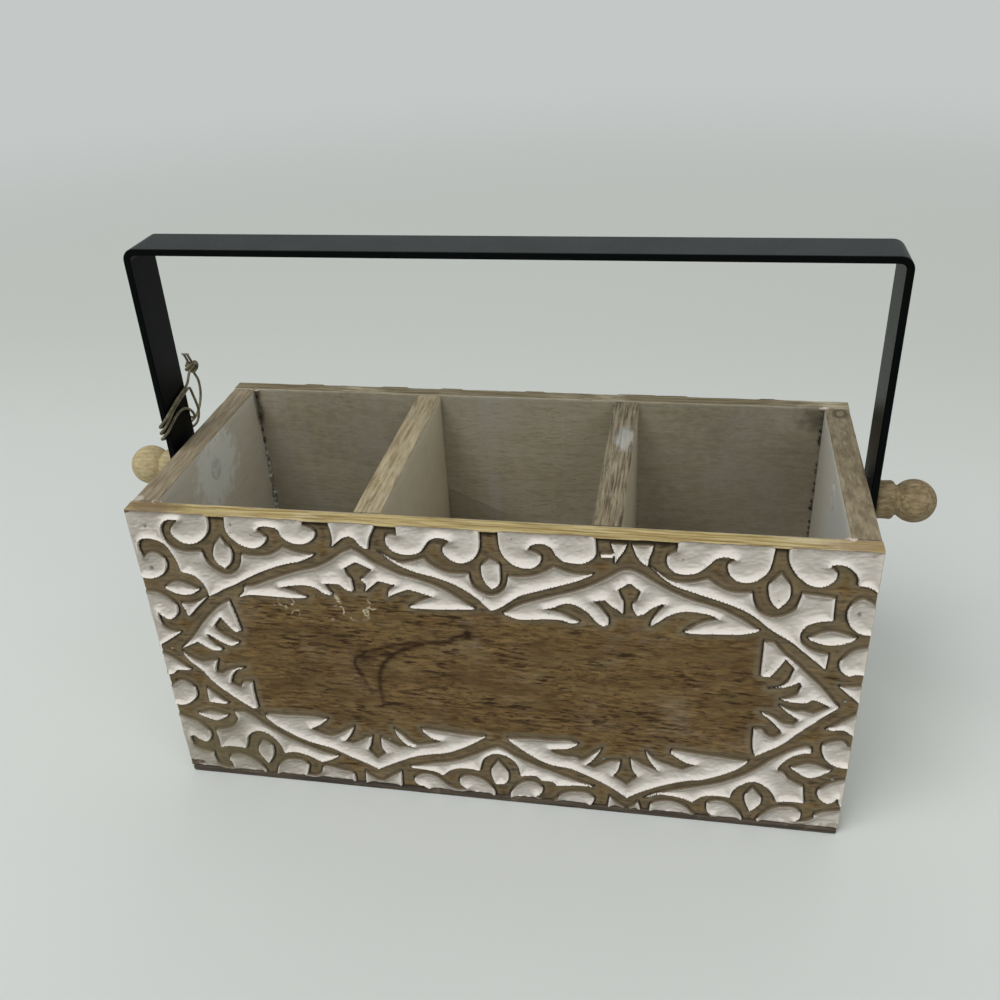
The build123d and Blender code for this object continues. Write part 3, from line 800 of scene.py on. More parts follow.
        (106.9, 9), (106.6, 5.7), (106.6, 0.5, 1), (88.8, 0.5, 1),
    ],
    "peakLowRight": [
        (204.7, 9.6, 1), (207.9, 6), (212.3, 3, 1), (215, 5), (217.2, 7.9, 1), (219.1, 0.5, 1),
        (203.4, 0.5, 1),
    ],
    "lobesLowRightOfPeak": [
        (223.6, 7.9), (227.3, 9.9), (231.7, 10.4), (236.2, 9.3), (239.6, 6.8), (241.8, 4.1),
        (245.8, 2.4), (251.1, 4.4, 1), (248.5, 5.7), (247.7, 9), (248.5, 12.3), (252.5, 13.7),
        (257, 12.6), (260.9, 9), (263.2, 4.6), (263.5, 0.5, 1), (222.6, 0.5, 1), (222.6, 4),
    ],
    "cornerLowRight": [
        (269.6, 0.5, 1), (270.2, 4.6), (272.8, 9), (276.7, 12.6), (281.2, 14), (285.8, 13.7),
        (288.3, 10.7), (288, 7.4), (286.4, 5.7, 1), (290.3, 6), (293.7, 8.5), (294.8, 11.2),
        (299.4, 13.4), (306, 15.1, 1), (306, 0.5, 1),
    ],
    "gullLowRight": [
        (220.1, 10.1, 1), (223.9, 13.4), (231.7, 17), (240.2, 20), (245.8, 22), (251.4, 24.2),
        (257, 27.2), (262.6, 31), (268.3, 36), (272.8, 40.9), (276.7, 44.2), (280.1, 47),
        (284.6, 49.7), (288, 50.3), (289.2, 47, 1), (286.9, 47), (282.4, 44.8), (279, 41.5),
        (276.2, 36.5), (276.7, 35.2), (279, 34.3), (281.2, 31), (284.6, 28.8), (287.7, 27.2, 1),
        (288, 23.9), (288.9, 17.6, 1), (285.2, 17.8), (280.1, 17.3), (277.3, 16.5, 1),
        (275.6, 20.6), (272.8, 24.4), (267.2, 27.7), (262, 25), (258.7, 21.1), (257.5, 16.7, 1),
        (251.4, 17), (245.8, 15.6), (241.3, 11.2, 1), (237.3, 13.2), (231.7, 14.3), (226.2, 14),
    ],
    "gullLowLeft": [
        (30.9, 41.2, 1), (34.5, 41.4), (39.1, 38.5), (43.7, 34.3), (48.9, 30.7), (54, 27.5),
        (59.2, 24.9), (64.3, 22.8), (69.5, 20.7), (77.2, 18.6, 1), (74.1, 16.5), (68.9, 14.4),
        (66.4, 15.2), (62.7, 17.5), (56.5, 19.1), (50.4, 17.8, 1), (49.4, 22.3), (46.2, 27.5),
        (41.1, 30.7), (37, 29.6), (33.4, 25.9), (32.4, 22.3), (31.3, 18.6, 1), (26.7, 19.1),
        (22.1, 18.8), (18.2, 17.5, 1), (18.2, 23.3), (17.5, 28.6, 1), (22.6, 29.6), (26.7, 31.7),
        (29.8, 35.9), (30.4, 38.5), (29.3, 41.2, 1),
    ],
    "cornerLowLeft": [
        (-1, 37.3, 1), (5.1, 34.3), (9.2, 32.8), (12.9, 29.1), (14.4, 25.9), (13.9, 22.8),
        (11.9, 20.7), (8.8, 21.2), (5.7, 23.8, 1), (3.7, 22.8), (3.1, 19.6), (4.6, 16.5),
        (8.3, 14.4), (13.3, 13.3, 1), (13.3, 9.1), (15.4, 5.5), (19.5, 3.9), (22.6, 4.9, 1),
        (22.1, 8.1), (21.1, 10.2), (22.6, 12.8), (26.7, 13.9), (31.8, 12.3), (36.5, 8.6),
        (38.6, 4.4), (39.1, 0.5, 1), (-1, 0.5, 1),
    ],
    "lobesLowLeft": [
        (43.7, 0.5, 1), (44.8, 5.5), (46.2, 9.1), (49.9, 12.8), (54.5, 13.9), (59.2, 13.3),
        (61.3, 10.7), (60.7, 7.6), (59.7, 4.4, 1), (64.3, 4.4), (67.5, 7.6), (68.9, 11.2),
        (73.1, 11.2), (78.3, 9.7), (82.9, 8.6), (83.7, 4.9), (83.9, 0.5, 1),
    ],
}
# Two dark lines in the front board's grain, drawn like the outlines
grainSwirl = [
    (143.3, 96.8), (140.3, 94.5), (130.9, 90.8), (120, 89.6), (112.4, 88), (101.1, 84.6), (90.9, 78.4),
    (93.8, 69.7), (98.3, 59.3),
]
grainSwirlLow = [
    (123.9, 89.4), (116, 86.6), (110.1, 82.7), (103.8, 75.5), (101.9, 65.8), (102.7, 55),
]
grainFigure = {
    "lines": (
        {"route": grainSwirl, "width": 1.15, "strength": 0.64, "gain": 0.38},
        {"route": grainSwirlLow, "width": 1.25, "strength": 0.8, "gain": 0.25},
    ),
    "fade": (60.0, 76.0),
    "drift": 1.5,
    "wedge": {"x": 97, "z": 79.0, "lean": 0.6, "reachAlong": 7.0, "reachUp": 3.6, "strength": 0.78},
    "knot": {"x": 143.8, "z": 96.5, "squash": 0.8, "radius": 1.9, "strength": 1.5},
}
nailMarks = {"places": [(7.5, 141.5), (3.3, 57), (5.5, 4.6)], "radius": 0.62, "depth": 0.45}
# Rings from the border of the carved grid to the inner face: share of the rounding outwards,
# millimetres inwards, share of the thickness, and how much of the rim's finish shows
edgeProfile = [(0.45, 0.06, 0.0, 0.35), (0.8, 0.2, 0.0, 0.75), (1.0, 0.42, 0.0, 1.0)]
edgeProfile += [(1.0, 0.5, share, 1.0) for share in (0.12, 0.3, 0.5, 0.7, 0.88)]
edgeProfile += [(1.0, -0.5, 1.0, 1.0), (0.75, -0.15, 1.0, 1.0), (0.0, 0.0, 1.0, 0.0)]


def roundedLine(points):
    # An open line with its corners cut back three times
    for turn in range(3):
        cut = [points[0]]
        for (ax, az), (bx, bz) in zip(points[:-1], points[1:]):
            cut.append((ax * 0.75 + bx * 0.25, az * 0.75 + bz * 0.25))
            cut.append((ax * 0.25 + bx * 0.75, az * 0.25 + bz * 0.75))
        points = cut + [points[-1]]
    return np.array(points)


def smoothOutline(corners):
    # Points along the closed outline, bending smoothly except at its sharp corners
    count = len(corners)
    found = []
    for index in range(count):
        before, here = corners[index - 1], corners[index]
        after, later = corners[(index + 1) % count], corners[(index + 2) % count]
        run = math.dist(here[:2], after[:2])

        def slope(first, second):
            gap = math.dist(first[:2], second[:2])
            return [(second[k] - first[k]) / gap * run for k in (0, 1)]

        leaving = slope(here, after) if len(here) > 2 else slope(before, after)
        arriving = slope(here, after) if len(after) > 2 else slope(here, later)
        steps = max(1, min(8, round(run / 0.8)))
        for step in range(steps):
            t = step / steps
            shares = (2 * t**3 - 3 * t * t + 1, t**3 - 2 * t * t + t, 3 * t * t - 2 * t**3, t**3 - t * t)
            pulls = (here, leaving, after, arriving)
            found.append([sum(share * pull[k] for share, pull in zip(shares, pulls)) for k in (0, 1)])
    return np.array(found)


def segmentDistance(x, z, line):
    # Distance from each grid point to a line of points, all in millimetres
    nearest = np.full(x.shape, 1e9)
    for (ax, az), (bx, bz) in zip(line[:-1], line[1:]):
        dx, dz = bx - ax, bz - az
        share = ((x - ax) * dx + (z - az) * dz) / max(1e-9, dx * dx + dz * dz)
        share = np.clip(share, 0, 1)
        nearest = np.minimum(nearest, np.hypot(x - ax - share * dx, z - az - share * dz))
    return nearest


def carvedField(x, z):
    # Distance in from the nearest outline: more than zero on the raised parts
    reach = carving["reach"]
    field = np.full(x.shape, -reach)
    for corners in carvedOutlines.values():
        line = smoothOutline(corners)
        closed = np.vstack([line, line[:1]])
        low, high = line.min(0) - reach, line.max(0) + reach
        rows = np.where((z[:, 0] >= low[1]) & (z[:, 0] <= high[1]))[0]
        columns = np.where((x[0] >= low[0]) & (x[0] <= high[0]))[0]
        part = np.ix_(rows, columns)
        px, pz = x[part], z[part]
        inside = np.zeros(px.shape, bool)
        for (ax, az), (bx, bz) in zip(closed[:-1], closed[1:]):
            if az == bz:
                continue
            crossing = (az > pz) != (bz > pz)
            inside ^= crossing & (px < (bx - ax) * (pz - az) / (bz - az) + ax)
        gap = segmentDistance(px, pz, closed)
        field[part] = np.maximum(field[part], np.where(inside, gap, -gap))
    return np.clip(field, -reach, reach)


def unevenness(x, z, size, seed):
    # Smooth random hills from 0 to 1 over the grid, size millimetres apart, the same in every run
    source = np.random.default_rng(seed).random((200, 400))
    u, v = x / size + 3, z / size + 3
    iu, iv = np.floor(u).astype(int), np.floor(v).astype(int)
    fu, fv = u - iu, v - iv
    fu, fv = fu * fu * (3 - 2 * fu), fv * fv * (3 - 2 * fv)

    def take(across, up):
        return source[up % 200, across % 400]

    low = take(iu, iv) * (1 - fu) + take(iu + 1, iv) * fu
    high = take(iu, iv + 1) * (1 - fu) + take(iu + 1, iv + 1) * fu
    return low * (1 - fv) + high * fv


def softStep(value, low, high):
    share = np.clip((value - low) / (high - low), 0, 1)
    return share * share * (3 - 2 * share)


def settleOnEdges(x, z, field, edge):
    # Grid points next to a cut edge move onto its foot or its lip, so that it runs smoothly
    stepX, stepZ = x[0, 1] - x[0, 0], z[1, 0] - z[0, 0]
    slopeZ, slopeX = np.gradient(field, stepZ, stepX)
    steep = np.hypot(slopeX, slopeZ)
    wayX, wayZ = slopeX / np.maximum(steep, 1e-6), slopeZ / np.maximum(steep, 1e-6)
    window = np.maximum(np.abs(wayX) * stepX, np.abs(wayZ) * stepZ)
    near = (np.abs(field) < window) & (steep > 0.75)
    near[[0, -1], :] = False
    near[:, [0, -1]] = False
    target = np.where(field > 0, edge, -edge)
    move = np.where(near, target - field, 0)
    return x + move * wayX, z + move * wayZ, np.where(near, target, field)


def upwardEdges(field, spacing):
    # How the carving rises up the board, evened out over the neighbouring points
    rise = np.gradient(field, axis=0) / spacing
    for turn in range(2):
        padded = np.pad(rise, 1, mode="edge")
        below, above = padded[:-2, 1:-1], padded[2:, 1:-1]
        left, right = padded[1:-1, :-2], padded[1:-1, 2:]
        rise = (below + above + left + right + rise) / 5
    return rise


def carvedDepth(x, z, field, edgeUp, boardTop, seed):
    # How far each point lies behind the board's face, and where the rim's bare lip is.
    # Cut edges that look up are worn back and those that look down stay crisp
    upper = np.clip(-edgeUp, 0, 1)
    slope = carving["edgeSlope"] * (1 + upper)
    raised = softStep(field - carving["upperShift"] * upper, -slope, slope)
    cut = np.exp(-(((field + slope + 0.25) / carving["outlineCutWidth"]) ** 2)) * (1 - 0.5 * upper)
    top = unevenness(x, z, 2.6, seed) * 0.6 + unevenness(x, z, 0.9, seed + 1) * 0.4
    dish = 1 - np.exp(-np.clip(field - carving["dishStart"], 0, 9) / carving["dishReach"])
    marks = unevenness(x * 0.9 + z * 0.5 + 9, z * 2.4 - x * 0.5 + 400, 1.7, seed + 8)
    hollow = carving["dishDepth"] * (0.7 + 0.5 * unevenness(x, z, 6.0, seed + 6))
    dish = dish * (hollow + marks * carving["toolMarks"])
    worn = carving["upperWear"] * upper * np.exp(-np.clip(field, 0, 9) / 1.0)
    top = top * carving["topUnevenness"] + dish + worn
    ground = unevenness(x, z * 3, 5.0, seed + 2) * carving["groundUnevenness"]
    ground = carving["relief"] + ground + cut * carving["outlineCut"]
    # A lip of bare wood stays along the top, where the channels end
    ragged = (unevenness(x, z * 0, 8.0, seed + 5) - 0.5) * carving["lipRaggedness"]
    lipFoot = boardTop - carving["topLip"] + ragged
    lip = softStep(z, lipFoot - 0.25, lipFoot + 0.25)
    depth = raised * top + (1 - raised) * (ground * (1 - lip) + carving["lipDepth"] * lip)
    return depth, lip * (1 - softStep(field, -0.5, 0.0))


def grainStain(x, z, left, seed):
    # Strength of the dark figure at each point
    wedge, knot = grainFigure["wedge"], grainFigure["knot"]
    drift = (unevenness(x * 0.5, z * 2.2, 2.4, seed + 9) - 0.5) * grainFigure["drift"]
    along, up = x - left, z + drift
    fade = softStep(up, *grainFigure["fade"])
    parts = []
    for line in grainFigure["lines"]:
        gap = segmentDistance(along, up, roundedLine(line["route"])) / line["width"]
        parts.append(np.exp(-(gap**2)) * (line["strength"] + line["gain"] * fade))
    aside = along - wedge["x"]
    above = up - wedge["z"] - aside * wedge["lean"]
    near = -((aside / wedge["reachAlong"]) ** 2) - ((above / wedge["reachUp"]) ** 2)
    parts.append(np.exp(near) * wedge["strength"])
    gap = np.hypot(along - knot["x"], (z - knot["z"]) * knot["squash"]) / knot["radius"]
    parts.append(np.exp(-(gap**2)) * knot["strength"])
    return np.clip(np.maximum.reduce(parts), 0, 1.2)


def makeCarvedBoard(name, node, material, facing, grid, seed):
    # A fine grid of points sinks by the carving's depth, and rings from its border close the
    # board. Facing is -1 for the front board and 1 for the back one
    low, high = [v * 1000 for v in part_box(node)]
    rounding = carving["rimRounding"]
    columns = round((high.x - low.x) / grid)
    rows = round((high.z - low.z) / grid)
    x, z = np.meshgrid(
        np.linspace(low.x + rounding, high.x - rounding, columns + 1),
        np.linspace(low.z + rounding, high.z - rounding, rows + 1),
    )
    field = carvedField(x - low.x, z)
    edgeUp = upwardEdges(field, z[1, 0] - z[0, 0])
    x, z, field = settleOnEdges(x, z, field, carving["edgeSlope"])
    depth, bareLip = carvedDepth(x, z, field, edgeUp, high.z, seed)
    stain = np.zeros(field.shape)
    if facing < 0:
        stain = grainStain(x, z, low.x, seed)
        for dotX, dotZ in nailMarks["places"]:
            gap = np.hypot(x - low.x - dotX, z - dotZ) / nailMarks["radius"]
            dot = np.exp(-(gap**2))
            stain = np.maximum(stain, dot)
            depth = depth + dot * nailMarks["depth"]
    frontY, innerY = (high.y, low.y) if facing > 0 else (low.y, high.y)
    y = frontY - facing * depth
    verts = [tuple(p) for p in np.stack([x, y, z], -1).reshape(-1, 3) * millimetre]
    index = np.arange((rows + 1) * (columns + 1)).reshape(rows + 1, columns + 1)
    quads = np.stack([index[:-1, :-1], index[:-1, 1:], index[1:, 1:], index[1:, :-1]], -1)
    quads = quads.reshape(-1, 4)
    faces = [tuple(q) for q in (quads if facing < 0 else quads[:, ::-1]).tolist()]
    rimPart = list(bareLip.reshape(-1))
    loop = [*index[0, :], *index[1:, -1], *index[-1, -2::-1], *index[-2:0:-1, 0]]
    flatX, flatY, flatZ = x.reshape(-1), y.reshape(-1), z.reshape(-1)
    previous = loop
    for out, inward, share, rim in edgeProfile:
        ring = []
        for vertex in loop:
            px, py, pz = flatX[vertex], flatY[vertex], flatZ[vertex]
            dx = (px > high.x - rounding - 1e-6) * 1.0 - (px < low.x + rounding + 1e-6) * 1.0
            dz = (pz > high.z - rounding - 1e-6) * 1.0 - (pz < low.z + rounding + 1e-6) * 1.0
            worn = 0.0
            if 0 < rim and share < 1:
                chance = noise.noise(Vector((px * 0.12, pz * 0.12, share * 2 + seed)))
                worn = carving["rimWear"] * (chance + 0.6)
            reach = rounding * out - worn
            start, end = py - facing * inward, innerY - facing * inward
            place = start + (end - start) * share if share < 1 else end
            ring.append(len(verts))
            spot = (px + dx * reach, place, pz + dz * reach)
            verts.append(tuple(v * millimetre for v in spot))
            rimPart.append(rim)
        for number in range(len(loop)):
            after = (number + 1) % len(loop)
            quad = (previous[number], ring[number], ring[after], previous[after])
            faces.append(quad if facing < 0 else quad[::-1])
        previous = ring
    faces.append(tuple(previous) if facing > 0 else tuple(reversed(previous)))
    piece = meshPiece(name, verts, faces, material, smoothAngle=55)
    padding = [0.0] * (len(verts) - field.size)
    given = {
        "carveDist": list(field.reshape(-1)) + padding,
        "rimPart": rimPart,
        "swirlStain": list(stain.reshape(-1)) + padding,
        "edgeSide": list(edgeUp.reshape(-1)) + padding,
    }
    for label, values in given.items():
        piece.data.attributes.new(label, "FLOAT", "POINT").data.foreach_set("value", values)
    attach(piece, boxBody)
    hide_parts(node)
    print(name, len(verts), "points")


def readAttribute(tree, label):
    return addNode(tree, "ShaderNodeAttribute", attribute_name=label).outputs["Fac"]


def markAt(centre, radii, color, strength, soft=0.0, hole=None):
    # A local patch, in metres. Soft widens its edge, and hole is the share left clear inside
    mark = {"centre": centre, "radii": radii, "color": color, "strength": strength}
    return {**mark, "soft": soft, "hole": hole}


def addMarks(place, color, marks):
    # Local patches of filler, paint, dark grain or painted shade, each with a ragged edge
    ragged = times(minus(cloud(place, 190.0, 6.0, 0.65), 0.5), 1.7)
    for mark in marks:
        offset = vectorCalc("SUBTRACT", place, mark["centre"])
        offset = vectorCalc("MULTIPLY", offset, tuple(1 / reach for reach in mark["radii"]))
        reach = plus(lengthOf(offset), ragged)
        mask = ramp(reach, 1.05 + mark["soft"], 0.75 - mark["soft"])
        if mark["hole"]:
            mask = times(mask, ramp(reach, mark["hole"] - 0.15, mark["hole"] + 0.1))
        color = tint(color, mark["color"], mask, mark["strength"])
    return color


insideColors = {
    "dark": shade(160, 150, 126),
    "light": shade(182, 172, 147),
    "lime": shade(198, 194, 180),
    "limeCool": shade(186, 188, 184),
    "pore": shade(114, 102, 80),
    "shaded": shade(104, 98, 82),
}


def insideWash(place, grain, lift):
    # The grey-brown stain and bluish limewash of the inner faces
    color = blendColors(grain["Streak"], insideColors["dark"], insideColors["light"])
    tone = cloud(place, 22.0, 3.0)
    color = blendColors(ramp(tone, 0.35, 0.7, lift, lift + 0.25), color, insideColors["lime"])
    lime = brushAt(place, (30, 30, 240), 16.0, 0.52, 0.16)
    upright = brushAt(place, (170, 170, 9), 22.0, 0.36, 0.12)
    color = tint(color, insideColors["lime"], lime, 0.42)
    color = tint(color, insideColors["limeCool"], upright, 0.4)
    return tint(color, insideColors["pore"], grain["Pores"], 0.22)


boardColors = {
    "ground": shade(134, 108, 68),
    "groundDark": shade(86, 65, 37),
    "dash": shade(56, 39, 18),
    "olive": shade(118, 101, 66),
    "pore": shade(44, 32, 17),
    "outline": shade(38, 28, 16),
    "swirl": shade(47, 28, 6),
    "channel": shade(136, 130, 110),
    "wall": shade(112, 98, 77),
    "arris": shade(92, 72, 46),
    "paint": shade(223, 216, 207),
    "paintShade": shade(189, 182, 173),
    "speck": shade(196, 184, 156),
    "paintInShade": shade(144, 136, 122),
    "paintHighlight": shade(238, 231, 223),
    "rim": shade(201, 184, 134),
    "rimDark": shade(132, 109, 60),
    "rimPaint": shade(218, 208, 180),
    "rimBack": shade(143, 133, 107),
    "rimBackDark": shade(96, 86, 63),
}
wornCorners = [
    markAt((-0.1290, -0.0650, 0.0180), (0.030, 0.006, 0.024), shade(116, 112, 84), 0.32, 0.35),
    markAt((-0.1525, -0.0650, 0.0045), (0.0075, 0.004, 0.0032), shade(70, 54, 34), 0.85),
    markAt((-0.1525, -0.0650, 0.1500), (0.0040, 0.004, 0.0022), shade(64, 50, 32), 0.8),
    markAt((-0.1525, -0.0650, 0.0580), (0.0020, 0.004, 0.0060), shade(96, 78, 50), 0.6),
    markAt((0.1525, -0.0650, 0.0040), (0.0090, 0.004, 0.0022), shade(150, 140, 124), 0.6),
]
# Patches on the inner back wall: painted shade towards the right end, a darker patch at the upper left,
# a dark streak of dirt and painted shade down the top of the left corner, and painted shade at the top
# of the right corner
innerMarks = [
    markAt((0.1080, 0.0565, 0.0900), (0.050, 0.02, 0.075), shade(108, 104, 92), 0.28, 0.4),
    markAt((-0.0900, 0.0565, 0.1300), (0.042, 0.02, 0.020), shade(104, 100, 84), 0.22, 0.4),
    markAt((-0.1408, 0.0565, 0.1400), (0.0018, 0.02, 0.012), shade(60, 50, 34), 0.52, 0.3),
    markAt((0.1370, 0.0565, 0.1440), (0.0075, 0.02, 0.006), shade(62, 56, 42), 0.55, 0.4),
]
rimEnds = [
    markAt((-0.1420, -0.0607, 0.1500), (0.0150, 0.006, 0.004), shade(112, 94, 72), 0.75, 0.35),
    markAt((0.1460, -0.0607, 0.1500), (0.0130, 0.006, 0.004), shade(140, 116, 86), 0.6, 0.4),
]


def groundColor(place, grain, distance):
    # Stained timber, paler in the channels
    color = blendColors(grain["Streak"], boardColors["groundDark"], boardColors["ground"])
    color = tint(color, boardColors["pore"], grain["Pores"], 0.75)
    residue = brushAt(place, (120, 500, 900), 45.0, 0.3, 0.1)
    color = tint(color, boardColors["paintShade"], residue, 0.2)
    tone = ramp(stretchedCloud(place, (26, 60, 120), 4.0, 0.6), 0.42, 0.68, 0.0, 0.7)
    color = blendColors(tone, color, boardColors["groundDark"])
    mottle = ramp(stretchedCloud(place, (48, 90, 110), 3.0), 0.48, 0.7, 0.0, 0.45)
    color = blendColors(mottle, color, boardColors["olive"])
    # Soft dark dashes, 2 to 6 mm long, in groups
    dashes = ramp(stretchedCloud(place, (150, 400, 700), 3.0, 0.5), 0.51, 0.66)
    grouped = ramp(stretchedCloud(place, (34, 60, 60), 2.0), 0.35, 0.62, 0.3, 1.0)
    color = blendColors(times(dashes, grouped), color, boardColors["dash"])
    washed = ramp(distance, -4.5, -1.5, 0.0, 0.34)
    return blendColors(washed, color, boardColors["channel"])


def cutEdgeColor(color, torn, upperEdge, notUpper):
    # A dark line in the cut round each raised part, part dark stain and part painted shadow that is
    # stronger below their lower edges, and sanded wood on the worn upper walls
    near = times(ramp(torn, -1.2, -0.3), ramp(notUpper, 0.0, 1.0, 0.5, 0.92))
    color = blendColors(near, color, boardColors["outline"])
    wall = times(ramp(torn, -0.45, 0.1), upperEdge)
    return tint(color, boardColors["wall"], wall, 0.7)


def addOldPaint(place, color):
    # Curled specks of paint on the ground under the left upper fringe
    region = vectorCalc("SUBTRACT", place, (-0.0690, -0.0638, 0.1065))
    region = vectorCalc("MULTIPLY", region, (32, 20, 110))
    region = ramp(lengthOf(region), 1.0, 0.5)
    curl = calc("ABSOLUTE", minus(cloud(place, 150.0, 2.0, 0.45), 0.54))
    specks = times(ramp(curl, 0.030, 0.016), ramp(cloud(place, 260.0), 0.47, 0.53))
    return tint(color, boardColors["speck"], times(specks, region), 0.85)


def raisedPaint(place, brush, distance, torn, upperEdge, notUpper, lookUp):
    # Limewash on the raised parts with rubbed patches, and painted light: painted shade in their
    # middles, inside their upper edges and towards the left, painted highlights on their lower lips and
    # on facets that look up
    paint = blendColors(brush, boardColors["paintShade"], boardColors["paint"])
    # Painted shade in the middles of the hollowed tops
    paint = tint(paint, boardColors["paintShade"], ramp(distance, 1.0, 3.6), 0.5)
    # Painted shade: the paint is darker towards the left end
    leftward = ramp(partOf(place, "X"), -0.02, -0.14, 0.0, 0.3)
    paint = blendColors(leftward, paint, boardColors["paintInShade"])
    # Painted highlight on the lips of the lower edges
    lip = times(ramp(torn, -0.1, 0.2), ramp(torn, 1.4, 0.4))
    paint = tint(paint, boardColors["paintHighlight"], times(lip, notUpper), 0.8)
    # Painted shade inside the upper edges
    shadeInsideUpperEdge = times(ramp(distance, 3.4, 0.6), upperEdge)
    paint = tint(paint, boardColors["paintInShade"], shadeInsideUpperEdge, 0.5)
    paint = tint(paint, boardColors["wall"], rubbedAt(place, 210.0, 0.645, 0.70), 0.6)
    # Painted shade on facets that look down and painted highlight on those that look up
    shaded = ramp(lookUp, 0.02, -0.55, 0.0, 0.75)
    paint = blendColors(shaded, paint, boardColors["paintInShade"])
    highlightUp = times(ramp(lookUp, 0.05, 0.5, 0.0, 0.75), notUpper)
    return blendColors(highlightUp, paint, boardColors["paintHighlight"])


def rimColor(place):
    # Bare sanded wood with a little paint dragged over it, weathered on the back board
    grain = grainAt(place, (34, 760, 760), 0.9, 1.6)
    bare = blendColors(grain["Streak"], boardColors["rimDark"], boardColors["rim"])
    bare = tint(bare, boardColors["groundDark"], grain["Pores"], 0.45)
    weathered = blendColors(grain["Streak"], boardColors["rimBackDark"], boardColors["rimBack"])
    bare = blendColors(ramp(partOf(place, "Y"), -0.01, 0.01), bare, weathered)
    drag = brushAt(place, (60, 500, 500), 25.0, 0.3, 0.1)
    bare = tint(bare, boardColors["rimPaint"], drag, 0.6)
    return addMarks(place, bare, rimEnds)


def makeCarvedFinish():
    material, tree, shader = startMaterial("carvedLimewash")
    place = objectPlace(tree)
    height = partOf(place, "Z")
    away = calc("ABSOLUTE", partOf(place, "Y"))
    lookUp = upwardness(tree)
    distance = readAttribute(tree, "carveDist")
    ragged = minus(cloud(place, 900.0, 4.0), 0.5)
    torn = plus(distance, times(ragged, 0.4))
    upperEdge = ramp(readAttribute(tree, "edgeSide"), -0.15, -0.75)
    notUpper = minus(1.0, upperEdge)
    grain = grainAt(place, (150, 300, 640), 2.2, 2.2)
    brush = brushAt(place, (140, 140, 320), 60.0, 0.55, 0.18)
    color = groundColor(place, grain, distance)
    color = cutEdgeColor(color, torn, upperEdge, notUpper)
    color = addOldPaint(place, color)
    low = ramp(upperEdge, 0.0, 1.0, -0.2, 0.0)
    high = ramp(upperEdge, 0.0, 1.0, 0.04, 0.95)
    painted = ramp(torn, low, high)
    # Painted shadow in the channels right under the rim's lip
    shadowUnderRim = times(ramp(height, 0.1464, 0.1482), minus(1.0, painted))
    color = tint(color, boardColors["outline"], shadowUnderRim, 0.9)
    paint = raisedPaint(place, brush, distance, torn, upperEdge, notUpper, lookUp)
    color = blendColors(painted, color, paint)
    # The dark figure in the grain, broken by the streaks
    broken = ramp(grain["Streak"], 0.0, 1.0, 1.0, 0.8)
    color = tint(color, boardColors["swirl"], readAttribute(tree, "swirlStain"), broken)
    color = addMarks(place, color, wornCorners)
    # Brown line under the arris of the rim
    line = ramp(plus(height, times(ragged, 0.0008)), 0.14915, 0.14960)
    color = tint(color, boardColors["arris"], line, 0.75)
    inner = insideWash(place, grain, -0.15)
    # A little painted shade over the inner faces
    inner = blendColors(0.07, inner, insideColors["shaded"])
    inner = addMarks(place, inner, innerMarks)
    upward = calc("MAXIMUM", ramp(lookUp, 0.4, 0.8), ramp(away, 0.0610, 0.0622))
    sideWood = blendColors(upward, inner, rimColor(place))
    rim = plus(readAttribute(tree, "rimPart"), times(ragged, 0.8))
    color = blendColors(ramp(rim, 0.2, 0.55), color, sideWood)
    # The flat inner face has no carving distance and no rim
    color = blendColors(ramp(away, 0.0572, 0.0566), color, inner)
    feed(shader.inputs["Base Color"], color)
    feed(shader.inputs["Roughness"], ramp(painted, 0.0, 1.0, 0.62, 0.86))
    shader.inputs["Specular IOR Level"].default_value = 0.15
    strokes = plus(times(grain["Height"], 0.7), times(brush, 0.35))
    addBump(shader, strokes, 0.5, 0.0004)
    return material


carvedFinish = makeCarvedFinish()
makeCarvedBoard("carvedFront", "front_panel", carvedFinish, facing=-1, grid=0.52, seed=11)
makeCarvedBoard("carvedBack", "back_panel", carvedFinish, facing=1, grid=0.6, seed=47)


# Plain boards: ends, dividers and base
plank = {
    "rounding": 0.9,
    "step": 5.0,
    "wobble": 0.10,
    "wobbleScale": 0.07,
    "chips": 0.55,
    "chipScale": 0.22,
    "chipStart": 0.12,
}


def makePlank(name, node, material, seed):
    low, high = [v * 1000 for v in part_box(node)]
    bm = bmesh.new()
    bmesh.ops.create_cube(bm, size=1)
    for v in bm.verts:
        v.co = Vector([(low[k] + high[k]) / 2 + v.co[k] * (high[k] - low[k]) for k in range(3)])
    rounding = min(plank["rounding"], (high.z - low.z) * 0.2)
    edges = bm.edges[:]
    bmesh.ops.bevel(
        bm, geom=edges, offset=rounding, offset_type="OFFSET",
        segments=3, profile=0.5, affect="EDGES",
    )
    for axis in range(3):
        count = math.ceil((high[axis] - low[axis]) / plank["step"])
        way = Vector([float(k == axis) for k in range(3)])
        for number in range(1, count):
            spot = Vector(low)
            spot[axis] = low[axis] + (high[axis] - low[axis]) * number / count
            cut = bm.verts[:] + bm.edges[:] + bm.faces[:]
            bmesh.ops.bisect_plane(bm, geom=cut, plane_co=spot, plane_no=way)
    bm.normal_update()
    moves = []
    for v in bm.verts:
        edges = sum(min(v.co[k] - low[k], high[k] - v.co[k]) < rounding * 0.9 for k in range(3))
        waver = noise.noise(v.co * plank["wobbleScale"] + Vector((seed, 0, 0))) * 0.5 + 0.5
        amount = plank["wobble"] * waver
        if edges > 1:
            chip = noise.noise(v.co * plank["chipScale"] + Vector((0, seed, 0)))
            amount += plank["chips"] * max(0.0, chip - plank["chipStart"])
        moves.append(v.normal * amount)
    for v, move in zip(bm.verts, moves):
        v.co = (v.co - move) * millimetre
    mesh = bpy.data.meshes.new(name)
    bm.to_mesh(mesh)
    bm.free()
    finishMesh(mesh, material, smoothAngle=50)
    piece = linkPiece(name, mesh)
    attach(piece, boxBody)
    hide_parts(node)


